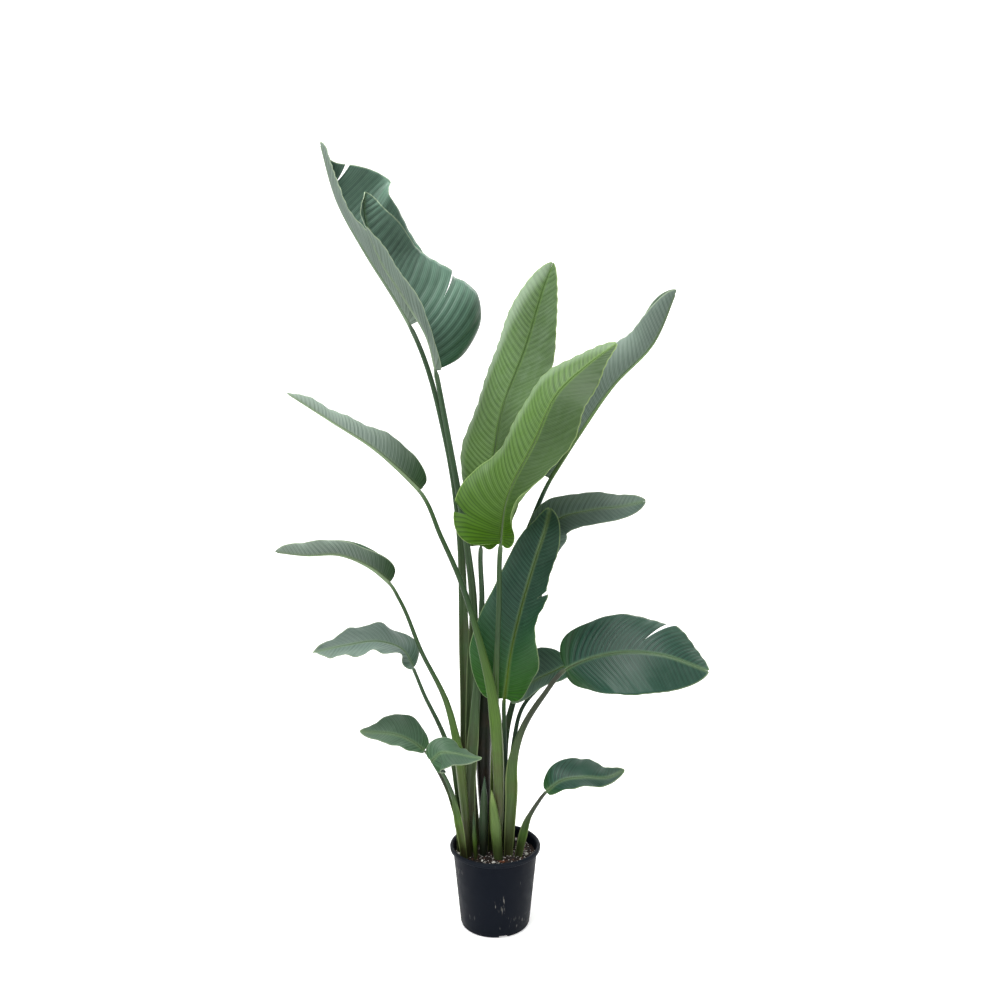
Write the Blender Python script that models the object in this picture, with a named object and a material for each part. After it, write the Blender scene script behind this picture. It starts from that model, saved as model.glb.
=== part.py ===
import math

import bmesh
import bpy
import numpy as np

# Potted bird of paradise in a blow moulded nursery pot. Metres, +Z up.
# The origin is the centre of the pot's flat underside; +Y points to the back of the plant.

GAP = 0.0003

POT_BASE_RADIUS = 0.0975
POT_HEIGHT = 0.228
POT_WALL = 0.002
POT_NECK_RADIUS = 0.1185
POT_LIP_RADIUS = 0.127
POT_LIP_HEIGHT = 0.013
POT_CORNER = 0.005
POT_SEGMENTS = 36
DRAIN_COUNT = 4
DRAIN_WIDTH = 0.026
DRAIN_HEIGHT = 0.007
DRAIN_REACH = 0.018
DRAIN_FIRST_ANGLE = -76.0

SOIL_TOP = 0.198
FOOT_DEPTH = 0.170

LAMINA_THICKNESS = 0.0016
LAMINA_ROWS = 11
LAMINA_START = 0.02
LAMINA_END = 0.985
VEIN_SLANT = 0.25
BASE_POWER = 0.42
TIP_POWER = 0.66
CURL_POWER = 1.3
VEIN_BEND = 1.3
CURL_STEPS = 12
LOBE_PLACE = 0.06

PETIOLE_RINGS = 9
FOOT_CLEAR = 0.055
# Where along the petiole its girths apply, and its depth there as a share of its width.
GIRTH_PLACES = (0.0, 0.15, 0.4, 0.65, 1.0)
GIRTH_DEPTHS = (0.60, 0.50, 0.42, 0.60, 0.75)
TWIST_START = 0.25
# Midrib width and depth at the joint as shares of the petiole there, and how much stays at the tip.
MIDRIB_WIDTH = 0.80
MIDRIB_DEPTH = 0.65
MIDRIB_TIP = 0.25
RIB_EASE = 0.2
# Section of every stem: x as a share of its width, y as a share of its depth.
RING_TOP = 0.42
RING = ((-0.5, RING_TOP), (0.5, RING_TOP), (0.52, -0.05), (0.26, -0.5), (-0.26, -0.5), (-0.52, -0.05))

# One entry per leaf. "stem" lists points of the petiole from the soil to the joint.
# "rib" lists (x, y, z, facing azimuth, facing elevation) along the midrib, joint to tip.
# "section" lists (fraction of length, left half width, left rise, left curl,
# right half width, right rise, right curl); angles in degrees.
# "girth" is the stem's width at the soil, at the sheath's widest and at the joint.
LEAVES = {
    "tall_back": {
        "girth": (0.022, 0.028, 0.014), "lobe": 0.04, "columns": 3,
        "stem": [(-0.070, 0.058, FOOT_DEPTH), (-0.085, 0.061, 0.455), (-0.085, 0.070, 0.630),
                 (-0.090, 0.080, 0.860), (-0.098, 0.080, 1.085), (-0.137, 0.085, 1.360)],
        "rib": [(-0.232, 0.100, 1.675, -40, 10), (-0.270, 0.100, 1.740, -40, 10),
                (-0.357, 0.110, 1.875, -40, 10), (-0.433, 0.120, 2.010, -55, 10),
                (-0.478, 0.120, 2.170, -40, 0)],
        "section": [(0.00, 0.100, 58, 25, 0.160, 30, 15), (0.35, 0.090, 60, 12, 0.165, 15, 0),
                    (0.60, 0.085, 64, 15, 0.155, 25, 5), (0.84, 0.090, 66, 25, 0.160, 30, 20),
                    (0.88, 0.095, 66, 27, 0.075, 50, 30), (1.00, 0.120, 66, 35, 0.060, 55, 30)],
    },
    "tall_front": {
        "girth": (0.022, 0.028, 0.014), "lobe": 0.03, "columns": 3,
        "stem": [(-0.050, 0.046, FOOT_DEPTH), (-0.070, 0.040, 0.460), (-0.066, 0.044, 0.690),
                 (-0.062, 0.050, 0.920), (-0.080, 0.040, 1.085), (-0.120, 0.018, 1.335)],
        "rib": [(-0.158, 0.010, 1.550, -60, 0), (-0.178, -0.010, 1.630, -60, 0),
                (-0.240, -0.015, 1.740, -50, 10), (-0.302, -0.020, 1.840, -45, 10),
                (-0.342, -0.020, 1.960, -75, -10), (-0.340, -0.020, 2.010, -70, -20)],
        "section": [(0.00, 0.060, 76, 20, 0.235, 0, -45), (0.15, 0.055, 78, 22, 0.235, 0, -30),
                    (0.35, 0.055, 78, 22, 0.215, 5, -20), (0.60, 0.055, 72, 20, 0.160, 0, 0),
                    (0.82, 0.060, 66, 22, 0.130, 8, 20), (1.00, 0.090, 62, 30, 0.160, 15, 25)],
    },
    "centre_back": {
        "girth": (0.020, 0.030, 0.013), "lobe": 0.03, "columns": 3,
        "stem": [(-0.060, 0.001, FOOT_DEPTH), (-0.070, 0.000, 0.385), (-0.060, 0.008, 0.555),
                 (-0.045, 0.024, 0.750), (-0.037, 0.048, 0.915)],
        "rib": [(-0.040, 0.080, 1.060, -90, 10), (-0.015, 0.090, 1.220, -95, 20),
                (0.020, 0.110, 1.445, -120, 25), (0.085, 0.120, 1.615, -110, 5),
                (0.135, 0.120, 1.780, -100, 25), (0.160, 0.120, 1.850, -80, 30)],
        "section": [(0.00, 0.100, 10, -25, 0.145, 50, 30), (0.15, 0.095, 0, -40, 0.145, 40, 15),
                    (0.35, 0.115, 10, -50, 0.145, 30, 10), (0.60, 0.120, 10, -60, 0.140, 20, 5),
                    (1.00, 0.140, 25, -35, 0.125, 25, 10)],
    },
    "centre_front": {
        "girth": (0.020, 0.022, 0.013), "lobe": 0.04, "columns": 3,
        "stem": [(-0.012, 0.014, FOOT_DEPTH), (0.000, -0.006, 0.465), (0.002, -0.032, 0.705),
                 (0.010, -0.058, 0.905)],
        "rib": [(0.015, -0.080, 1.090, -90, 10), (0.030, -0.090, 1.205, -115, 15),
                (0.105, -0.080, 1.365, -115, 25), (0.165, -0.070, 1.490, -120, 20),
                (0.240, -0.050, 1.560, -105, 40), (0.320, -0.040, 1.620, -105, 50)],
        "section": [(0.00, 0.185, 10, 10, 0.045, 20, 20), (0.15, 0.165, 10, -5, 0.095, 35, 40),
                    (0.35, 0.115, 0, -35, 0.135, 25, 20), (0.60, 0.115, 0, -40, 0.135, 10, 10),
                    (1.00, 0.135, 0, -30, 0.115, 20, -10)],
    },
    "right_rolled": {
        "girth": (0.026, 0.046, 0.013), "lobe": 0.02, "columns": 4,
        "stem": [(-0.018, 0.056, FOOT_DEPTH), (-0.029, 0.053, 0.320), (-0.033, 0.052, 0.500),
                 (-0.018, 0.064, 0.690), (0.020, 0.090, 0.865), (0.060, 0.106, 1.010),
                 (0.105, 0.106, 1.135)],
        "rib": [(0.150, 0.090, 1.250, 140, 30), (0.235, 0.090, 1.380, 140, 30),
                (0.330, 0.085, 1.515, 140, 30), (0.430, 0.075, 1.620, 150, 20),
                (0.495, 0.070, 1.770, 185, 0)],
        "section": [(0.00, 0.075, 50, 50, 0.080, 50, 50), (0.35, 0.095, 45, 65, 0.105, 50, 60),
                    (0.60, 0.105, 45, 70, 0.100, 50, 70), (0.85, 0.130, 40, 65, 0.110, 40, 65),
                    (1.00, 0.170, 40, 60, 0.150, 35, 60)],
    },
    "right_arching": {
        "girth": (0.018, 0.020, 0.010), "lobe": 0.03, "columns": 3,
        "stem": [(0.030, 0.050, FOOT_DEPTH), (0.022, 0.048, 0.400), (0.034, 0.065, 0.545),
                 (0.055, 0.080, 0.625), (0.100, 0.098, 0.800), (0.130, 0.080, 0.940)],
        "rib": [(0.135, 0.055, 1.025, -75, 35), (0.165, 0.045, 1.135, -85, 35),
                (0.270, 0.040, 1.170, -85, 40), (0.350, 0.035, 1.180, -95, 40),
                (0.415, 0.035, 1.195, -85, 25)],
        "section": [(0.00, 0.055, 0, -20, 0.070, 0, -60), (0.35, 0.065, 5, -10, 0.050, 10, -15),
                    (0.60, 0.060, 5, 0, 0.050, 5, -30), (1.00, 0.070, 10, -10, 0.070, 0, -20)],
    },
    "dark_front": {
        "girth": (0.018, 0.020, 0.011), "lobe": 0.04, "columns": 3,
        "stem": [(0.022, 0.016, FOOT_DEPTH), (0.028, 0.003, 0.355), (0.028, -0.005, 0.475),
                 (0.025, -0.011, 0.580)],
        "rib": [(0.025, -0.016, 0.650, -90, 5), (0.045, -0.016, 0.790, -90, 15),
                (0.075, -0.016, 0.920, -100, 5), (0.110, -0.015, 1.042, -100, 35),
                (0.140, -0.010, 1.138, -100, 30), (0.150, 0.015, 1.178, -80, 60)],
        "section": [(0.00, 0.110, 0, -25, 0.085, 0, -15), (0.15, 0.125, 0, -20, 0.090, 0, -20),
                    (0.35, 0.110, 5, 0, 0.080, 35, 15), (0.60, 0.090, 15, 5, 0.075, 25, 5),
                    (1.00, 0.110, 0, -35, 0.100, 0, -30)],
    },
    "right_torn": {
        "girth": (0.020, 0.032, 0.012), "lobe": 0.02, "columns": 3,
        "stem": [(0.035, -0.014, FOOT_DEPTH), (0.045, -0.026, 0.370), (0.050, -0.035, 0.485),
                 (0.075, -0.043, 0.575), (0.130, -0.050, 0.670)],
        "rib": [(0.190, -0.050, 0.745, -90, 40), (0.235, -0.060, 0.770, -90, 40),
                (0.335, -0.080, 0.800, -90, 40), (0.435, -0.100, 0.800, -90, 40),
                (0.565, -0.120, 0.760, -60, 30)],
        "section": [(0.00, 0.125, 0, -10, 0.095, 0, -20), (0.35, 0.120, 0, -15, 0.120, 5, -5),
                    (1.00, 0.140, 0, -30, 0.145, 0, -20)],
    },
    "right_drooping": {
        "girth": (0.014, 0.015, 0.010), "lobe": 0.02, "columns": 3,
        "stem": [(0.050, 0.028, FOOT_DEPTH), (0.045, 0.027, 0.370), (0.052, 0.038, 0.500),
                 (0.078, 0.053, 0.605), (0.140, 0.060, 0.675)],
        "rib": [(0.205, 0.050, 0.730, -90, 30), (0.170, 0.042, 0.715, -90, 30),
                (0.105, 0.034, 0.685, -80, 30), (0.045, 0.030, 0.625, -90, 30)],
        "section": [(0.00, 0.050, 5, -20, 0.085, 5, -15), (0.35, 0.030, 10, -5, 0.080, 0, -10),
                    (1.00, 0.045, 0, -25, 0.070, 0, -20)],
    },
    "left_rolled": {
        "girth": (0.020, 0.032, 0.012), "lobe": 0.02, "columns": 4,
        "stem": [(0.005, -0.014, FOOT_DEPTH), (0.010, -0.034, 0.400), (0.005, -0.049, 0.540),
                 (-0.010, -0.056, 0.685), (-0.040, -0.050, 0.815), (-0.090, -0.040, 0.980),
                 (-0.145, -0.028, 1.105)],
        "rib": [(-0.200, -0.020, 1.230, 60, 45), (-0.240, -0.020, 1.270, 60, 45),
                (-0.320, -0.020, 1.340, 70, 40), (-0.440, -0.010, 1.415, 85, 40),
                (-0.560, 0.000, 1.490, 70, 25)],
        "section": [(0.00, 0.065, 35, 40, 0.090, 40, 35), (0.35, 0.065, 60, 45, 0.065, 45, 60),
                    (0.60, 0.055, 70, 45, 0.055, 50, 60), (1.00, 0.070, 55, 55, 0.090, 50, 65)],
    },
    "left_arching": {
        "girth": (0.018, 0.024, 0.011), "lobe": 0.02, "columns": 4,
        "stem": [(-0.073, -0.020, FOOT_DEPTH), (-0.088, -0.031, 0.375), (-0.105, -0.042, 0.530),
                 (-0.130, -0.045, 0.645), (-0.200, -0.045, 0.795), (-0.255, -0.050, 0.935)],
        "rib": [(-0.280, -0.050, 0.985, 90, 70), (-0.330, -0.050, 1.025, 90, 75),
                (-0.415, -0.050, 1.060, 90, 80), (-0.505, -0.060, 1.060, 90, 80),
                (-0.585, -0.070, 1.070, 90, 80)],
        "section": [(0.00, 0.070, 35, 55, 0.060, 45, 45), (0.35, 0.040, 50, 60, 0.050, 40, 55),
                    (0.60, 0.045, 55, 60, 0.045, 40, 55), (1.00, 0.065, 60, 55, 0.060, 50, 55)],
    },
    "left_cupped": {
        "girth": (0.016, 0.020, 0.010), "lobe": 0.03, "columns": 3,
        "stem": [(-0.085, 0.031, FOOT_DEPTH), (-0.100, 0.020, 0.350), (-0.120, 0.010, 0.470),
                 (-0.155, 0.002, 0.570), (-0.195, 0.000, 0.655)],
        "rib": [(-0.225, 0.000, 0.735, -60, 50), (-0.255, 0.000, 0.785, -70, 60),
                (-0.310, -0.010, 0.810, -100, 60), (-0.410, -0.030, 0.805, -65, 60),
                (-0.495, -0.050, 0.790, -100, 70)],
        "section": [(0.00, 0.050, 30, 10, 0.065, 0, -30), (0.35, 0.055, 20, -5, 0.075, 0, -10),
                    (1.00, 0.085, 10, 5, 0.045, 10, 10)],
    },
    "left_small": {
        "girth": (0.014, 0.014, 0.008), "lobe": 0.03, "columns": 3,
        "stem": [(-0.098, 0.011, FOOT_DEPTH), (-0.110, 0.001, 0.315), (-0.135, -0.007, 0.390),
                 (-0.165, -0.014, 0.455)],
        "rib": [(-0.195, -0.020, 0.505, -90, 45), (-0.220, -0.020, 0.525, -90, 50),
                (-0.275, -0.030, 0.555, -90, 50), (-0.330, -0.040, 0.565, -100, 50),
                (-0.370, -0.050, 0.570, -90, 50)],
        "section": [(0.00, 0.030, 25, 5, 0.050, 0, -20), (0.35, 0.035, 10, -5, 0.075, 0, -15),
                    (1.00, 0.035, 0, -10, 0.030, 0, -25)],
    },
    "low_front": {
        "girth": (0.014, 0.020, 0.008), "lobe": 0.03, "columns": 3,
        "stem": [(-0.082, -0.037, FOOT_DEPTH), (-0.098, -0.053, 0.300), (-0.120, -0.077, 0.415),
                 (-0.145, -0.093, 0.475)],
        "rib": [(-0.170, -0.110, 0.510, -90, 40), (-0.145, -0.115, 0.535, -90, 50),
                (-0.110, -0.125, 0.538, -65, 70), (-0.065, -0.130, 0.530, -65, 70),
                (-0.035, -0.130, 0.525, -90, 70)],
        "section": [(0.00, 0.045, 15, -15, 0.075, 20, -10), (0.35, 0.055, 0, -25, 0.055, 5, -30),
                    (1.00, 0.035, 0, -40, 0.035, 10, -20)],
    },
    "right_small": {
        "girth": (0.016, 0.022, 0.009), "lobe": 0.02, "columns": 3,
        "stem": [(0.060, -0.019, FOOT_DEPTH), (0.075, -0.027, 0.255), (0.090, -0.034, 0.310),
                 (0.115, -0.041, 0.360)],
        "rib": [(0.140, -0.050, 0.400, -90, 50), (0.180, -0.050, 0.430, -90, 50),
                (0.240, -0.060, 0.445, -100, 55), (0.310, -0.060, 0.445, -80, 55),
                (0.355, -0.060, 0.465, -90, 55)],
        "section": [(0.00, 0.050, 0, -20, 0.030, 10, -15), (0.35, 0.070, 0, -20, 0.035, 10, 0),
                    (1.00, 0.045, 0, -15, 0.030, 0, -30)],
    },
}

# Shoots without a blade: foot x, foot y, tip x, tip y, tip z, widest width, depth.
SHOOTS = {
    "young_spear": (0.011, -0.033, -0.010, -0.050, 0.400, 0.030, 0.012),
    "teal_sheath": (-0.034, -0.012, -0.029, -0.025, 0.430, 0.024, 0.010),
    "slim_stalk": (-0.053, -0.034, -0.060, -0.048, 0.340, 0.012, 0.008),
    "dried_sheath": (-0.034, 0.020, -0.030, 0.011, 0.360, 0.016, 0.007),
}

SHOOT_FAMILIES = {"young_spear": "spear", "teal_sheath": "teal", "dried_sheath": "dried"}

# Loose lumps on the soil: x, y, length, width, height, turn in degrees.
LUMPS = {
    "perlite_left": (-0.103, -0.012, 0.011, 0.008, 0.007, 20),
    "perlite_middle": (-0.036, -0.052, 0.009, 0.007, 0.006, 75),
    "perlite_front": (-0.004, -0.062, 0.012, 0.008, 0.006, 10),
    "perlite_right": (0.088, -0.014, 0.011, 0.009, 0.007, 130),
    "perlite_back": (0.060, 0.076, 0.010, 0.008, 0.007, 50),
    "bark_front": (0.020, -0.056, 0.018, 0.009, 0.005, -8),
    "bark_right": (0.072, -0.050, 0.016, 0.009, 0.005, 35),
}

COLOURS = {
    "pot": ((0.020, 0.022, 0.032), 0.55),
    "soil": ((0.045, 0.028, 0.018), 0.95),
    "perlite": ((0.75, 0.74, 0.70), 0.90),
    "bark": ((0.16, 0.06, 0.03), 0.85),
    "blade": ((0.045, 0.115, 0.075), 0.42),
    "young_blade": ((0.160, 0.270, 0.045), 0.42),
    "stem": ((0.110, 0.190, 0.050), 0.50),
    "spear": ((0.200, 0.330, 0.060), 0.50),
    "teal": ((0.030, 0.075, 0.070), 0.50),
    "dried": ((0.200, 0.130, 0.080), 0.80),
}
YOUNG_BLADES = ("centre_back", "centre_front")


def clear_scene():
    for item in list(bpy.data.objects):
        bpy.data.objects.remove(item, do_unlink=True)


def material(name, family):
    colour, roughness = COLOURS[family]
    found = bpy.data.materials.new(name)
    found.use_nodes = True
    shader = found.node_tree.nodes["Principled BSDF"]
    shader.inputs["Base Color"].default_value = (*colour, 1.0)
    shader.inputs["Roughness"].default_value = roughness
    shader.inputs["Metallic"].default_value = 0.0
    found.diffuse_color = (*colour, 1.0)
    return found


def add_object(name, vertices, faces, family):
    mesh = bpy.data.meshes.new(name)
    mesh.from_pydata([tuple(float(c) for c in v) for v in vertices], [], faces)
    mesh.validate()
    made = bpy.data.objects.new(name, mesh)
    bpy.context.scene.collection.objects.link(made)
    mesh.materials.append(material(name, family))
    face_outward(mesh)
    mesh.shade_smooth()
    mesh.set_sharp_from_angle(angle=math.radians(40))
    return made


def face_outward(mesh):
    shape = bmesh.new()
    shape.from_mesh(mesh)
    bmesh.ops.recalc_face_normals(shape, faces=shape.faces)
    shape.to_mesh(mesh)
    shape.free()


def smooth_keys(keys, at):
    # Smooth curve through rows of (position, values...), read at the given positions.
    keys = np.array(keys, float)
    place = keys[:, 0]
    value = keys[:, 1:]
    slope = np.gradient(value, place, axis=0)
    cell = np.clip(np.searchsorted(place, at, side="right") - 1, 0, len(place) - 2)
    span = place[cell + 1] - place[cell]
    x = np.clip((at - place[cell]) / span, 0, 1)
    start = 2 * x**3 - 3 * x**2 + 1
    leave = x**3 - 2 * x**2 + x
    end = 3 * x**2 - 2 * x**3
    arrive = x**3 - x**2
    return (start[:, None] * value[cell] + (leave * span)[:, None] * slope[cell]
            + end[:, None] * value[cell + 1] + (arrive * span)[:, None] * slope[cell + 1])


def unit(vectors):
    return vectors / np.linalg.norm(vectors, axis=-1, keepdims=True)


def direction(azimuth, elevation):
    a = np.radians(azimuth)
    e = np.radians(elevation)
    return np.stack([np.cos(e) * np.cos(a), np.cos(e) * np.sin(a), np.sin(e)], -1)


def chord_places(points):
    steps = np.linalg.norm(np.diff(points, axis=0), axis=1)
    total = np.concatenate([[0.0], np.cumsum(steps)])
    return total / total[-1]


def rib_frame(leaf, samples=201):
    # Midrib curve with its tangent, upper side and right side at even steps.
    rows = np.array(leaf["rib"], float)
    place = chord_places(rows[:, :3])
    at = np.linspace(0, 1, samples)
    path = smooth_keys(np.column_stack([place, rows[:, :3]]), at)
    tangent = unit(np.gradient(path, axis=0))
    facing = direction(rows[:, 3], rows[:, 4])
    upper = smooth_keys(np.column_stack([place, facing]), at)
    upper = unit(upper - (upper * tangent).sum(1)[:, None] * tangent)
    length = np.linalg.norm(np.diff(path, axis=0), axis=1).sum()
    return {"path": path, "tangent": tangent, "upper": upper,
            "right": np.cross(tangent, upper), "length": length}


def sample(frame, at):
    # Values of the frame at fractions of the length; before 0 it runs straight back.
    inside = np.clip(at, 0, 1)
    spot = inside * (len(frame["path"]) - 1)
    low = np.minimum(spot.astype(int), len(frame["path"]) - 2)
    part = (spot - low)[..., None]
    found = {}
    for key in ("path", "tangent", "upper", "right"):
        found[key] = frame[key][low] * (1 - part) + frame[key][low + 1] * part
    found["path"] = found["path"] + found["tangent"] * ((at - inside) * frame["length"])[..., None]
    return found


def outline(u):
    # Half width of a blade as a share of its widest, from the joint to the tip.
    peak = ((BASE_POWER / (BASE_POWER + TIP_POWER)) ** BASE_POWER
            * (TIP_POWER / (BASE_POWER + TIP_POWER)) ** TIP_POWER)
    return np.clip(u, 1e-6, 1) ** BASE_POWER * np.clip(1 - u, 0, 1) ** TIP_POWER / peak


def vein_starts(u, leaf, frame):
    # Where each vein leaves the midrib: a little nearer the joint than where it ends.
    widths = smooth_keys(leaf["section"], u)
    mean = (widths[:, 0] + widths[:, 3]) / 2 * outline(u)
    return np.maximum(u - VEIN_SLANT * mean / frame["length"], 0.3 * u)


def half_blade(u, leaf, frame, side):
    # Grid of points on the middle surface of one half, rows along the midrib.
    rows = smooth_keys(leaf["section"], u)
    first = 0 if side < 0 else 3
    width = rows[:, first] * outline(u)
    rise = np.radians(rows[:, first + 1])
    curl = np.radians(rows[:, first + 2])
    v = np.linspace(0, 1, leaf["columns"] + 1)
    start = vein_starts(u, leaf, frame)
    lobe = leaf["lobe"] * (u / LOBE_PLACE) * np.exp(1 - u / LOBE_PLACE)
    at = start[:, None] + (u - lobe - start)[:, None] * v**VEIN_BEND
    found = sample(frame, at)
    out = np.zeros_like(at)
    up = np.zeros_like(at)
    for step in range(CURL_STEPS):
        q = (step + 0.5) / CURL_STEPS * v
        angle = rise[:, None] + curl[:, None] * q**CURL_POWER
        out += np.cos(angle) * v / CURL_STEPS
        up += np.sin(angle) * v / CURL_STEPS
    out *= width[:, None]
    up *= width[:, None]
    return found["path"] + found["right"] * (side * out)[..., None] + found["upper"] * up[..., None]


def surface_normals(grid, upper):
    along = np.gradient(grid, axis=0)
    across = np.gradient(grid, axis=1)
    normal = unit(np.cross(across, along))
    middle = grid.shape[1] // 2
    normal[:, middle] = upper
    return normal


def blade_rows():
    return LAMINA_START + (LAMINA_END - LAMINA_START) * (
        0.5 - 0.5 * np.cos(np.linspace(0.12, 1, LAMINA_ROWS) * math.pi))


def slab_faces(rows, columns):
    # Faces of a closed sheet: one grid above, the same grid below, and its edge.
    faces = []
    count = rows * columns
    for i in range(rows - 1):
        for j in range(columns - 1):
            a = i * columns + j
            faces.append((a, a + 1, a + columns + 1, a + columns))
            faces.append((count + a, count + a + columns, count + a + columns + 1, count + a + 1))
    edge = [j for j in range(columns)]
    edge += [i * columns + columns - 1 for i in range(1, rows)]
    edge += [(rows - 1) * columns + j for j in range(columns - 2, -1, -1)]
    edge += [i * columns for i in range(rows - 2, 0, -1)]
    for k, a in enumerate(edge):
        b = edge[(k + 1) % len(edge)]
        faces.append((a, count + a, count + b, b))
    return faces


def build_blade(name, leaf, frame):
    u = blade_rows()
    left = half_blade(u, leaf, frame, -1)
    right = half_blade(u, leaf, frame, 1)
    grid = np.concatenate([left[:, :0:-1], right], axis=1)
    upper = sample(frame, vein_starts(u, leaf, frame))["upper"]
    normal = surface_normals(grid, upper)
    above = grid + normal * LAMINA_THICKNESS / 2
    below = grid - normal * LAMINA_THICKNESS / 2
    vertices = np.concatenate([above.reshape(-1, 3), below.reshape(-1, 3)])
    family = "young_blade" if name in YOUNG_BLADES else "blade"
    add_object("blade_" + name, vertices, slab_faces(*grid.shape[:2]), family)
    return grid


def rib_drop(grid, upper, half_width):
    # How far the lamina falls below the midrib line within the midrib's own width.
    middle = grid.shape[1] // 2
    centre = grid[:, middle]
    drop = np.zeros(len(grid))
    for step in (-1, 1):
        reach = grid[:, middle + step] - centre
        fall = -(reach * upper).sum(1)
        out = np.linalg.norm(reach, axis=1)
        drop = np.maximum(drop, fall / out * half_width)
    return drop + RIB_EASE * half_width


def stem_line(leaf, frame, grid):
    # Centre line, side and upper directions and size of the stem, soil to blade tip.
    u = blade_rows()
    rib_at = vein_starts(u, leaf, frame)
    rib = sample(frame, rib_at)
    fade = MIDRIB_TIP + (1 - MIDRIB_TIP) * (1 - u)
    rib_width = MIDRIB_WIDTH * fade * leaf["girth"][2]
    rib_depth = MIDRIB_DEPTH * fade * leaf["girth"][2]
    below = (LAMINA_THICKNESS / 2 + GAP + rib_drop(grid, rib["upper"], rib_width / 2)
             + RING_TOP * rib_depth)
    rib_path = rib["path"] - rib["upper"] * below[:, None]

    points = np.array(leaf["stem"] + [tuple(rib_path[0]), tuple(rib_path[2])])
    place = chord_places(points)
    joint = place[-2]
    clear = joint * FOOT_CLEAR / (points[-2][2] - FOOT_DEPTH)
    at = np.append(0.0, np.linspace(clear, joint, PETIOLE_RINGS - 1, endpoint=False))
    path = smooth_keys(np.column_stack([place, points]), at)
    share = at / joint
    base, wide, top = leaf["girth"]
    girths = [base, (base + wide) / 2, wide, (wide + 2 * top) / 3, top]
    width = np.interp(share, GIRTH_PLACES, girths)
    depth = width * np.interp(share, GIRTH_PLACES, GIRTH_DEPTHS)
    inward = np.array([0.0, 1.0 if rib["upper"][0][1] > 0 else -1.0, 0.0])
    late = np.clip((share - TWIST_START) / (1 - TWIST_START), 0, 1)
    turn = (3 * late**2 - 2 * late**3)[:, None]
    upper = inward * (1 - turn) + rib["upper"][0] * turn

    path = np.concatenate([path, rib_path])
    upper = np.concatenate([upper, rib["upper"]])
    width = np.concatenate([width, rib_width])
    depth = np.concatenate([depth, rib_depth])
    return path, upper, width, depth


def stem_rings(path, upper, width, depth, grow=0.0):
    # Flattened hexagons with a flat upper side along a line; grow widens them all round.
    tangent = unit(np.gradient(path, axis=0))
    upper = unit(upper - (upper * tangent).sum(1)[:, None] * tangent)
    right = np.cross(tangent, upper)
    ring = np.array(RING)
    across = ring[:, 0] * np.array(width)[:, None] + np.sign(ring[:, 0]) * grow
    above = ring[:, 1] * np.array(depth)[:, None] + np.sign(ring[:, 1]) * grow
    return (path[:, None] + right[:, None] * across[..., None] + upper[:, None] * above[..., None])


def tube_faces(rings, sides):
    faces = []
    for i in range(rings - 1):
        for k in range(sides):
            a = i * sides + k
            b = i * sides + (k + 1) % sides
            faces.append((a, b, b + sides, a + sides))
    faces.append(tuple(range(sides - 1, -1, -1)))
    last = (rings - 1) * sides
    faces.append(tuple(range(last, last + sides)))
    return faces


def add_stem(name, line, family):
    # Adds a stem and the cutter of its socket, which follows the buried end GAP away.
    rings = stem_rings(*line)
    count, sides = rings.shape[:2]
    add_object(name, rings.reshape(-1, 3), tube_faces(count, sides), family)
    wider = stem_rings(*line, grow=GAP)[:2]
    wider[0, :, 2] -= GAP
    cutter = add_object("cut_" + name, wider.reshape(-1, 3), tube_faces(2, sides), "soil")
    cutter.hide_render = True
    cutter.display_type = "WIRE"
    return cutter


def build_leaf(name, leaf):
    frame = rib_frame(leaf)
    grid = build_blade(name, leaf, frame)
    return add_stem("stem_" + name, stem_line(leaf, frame, grid), "stem")


def build_shoot(name, shoot):
    foot_x, foot_y, tip_x, tip_y, tip_z, wide, deep = shoot
    share = np.array([0.0, 0.22, 0.5, 0.8, 1.0])
    foot = np.array([foot_x, foot_y, FOOT_DEPTH])
    tip = np.array([tip_x, tip_y, tip_z])
    path = foot + (tip - foot) * share[:, None]
    width = wide * np.array([0.75, 0.88, 1.0, 0.55, 0.14])
    depth = deep * np.array([0.9, 1.0, 1.0, 0.6, 0.25])
    upper = np.tile([0.0, 1.0, 0.0], (len(share), 1))
    family = SHOOT_FAMILIES.get(name, "stem")
    return add_stem(name, (path, upper, width, depth), family)


def turned(name, profile, segments, family):
    # Revolves a closed profile of (radius, height) points; radius 0 ends become poles.
    vertices = []
    rings = []
    for radius, height in profile:
        if radius == 0:
            rings.append([len(vertices)])
            vertices.append((0.0, 0.0, height))
            continue
        rings.append(list(range(len(vertices), len(vertices) + segments)))
        for k in range(segments):
            angle = 2 * math.pi * k / segments
            vertices.append((radius * math.cos(angle), radius * math.sin(angle), height))
    faces = []
    for low, high in zip(rings, rings[1:]):
        for k in range(segments):
            n = (k + 1) % segments
            if len(low) == 1:
                faces.append((low[0], high[n], high[k]))
            elif len(high) == 1:
                faces.append((low[k], low[n], high[0]))
            else:
                faces.append((low[k], low[n], high[n], high[k]))
    return add_object(name, vertices, faces, family)


def pot_inner_radius(height):
    # Inside of the tapered wall at a height above the floor.
    span = POT_HEIGHT - POT_LIP_HEIGHT - POT_CORNER
    return (POT_BASE_RADIUS + (POT_NECK_RADIUS - POT_BASE_RADIUS) * (height - POT_CORNER) / span
            - POT_WALL)


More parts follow.
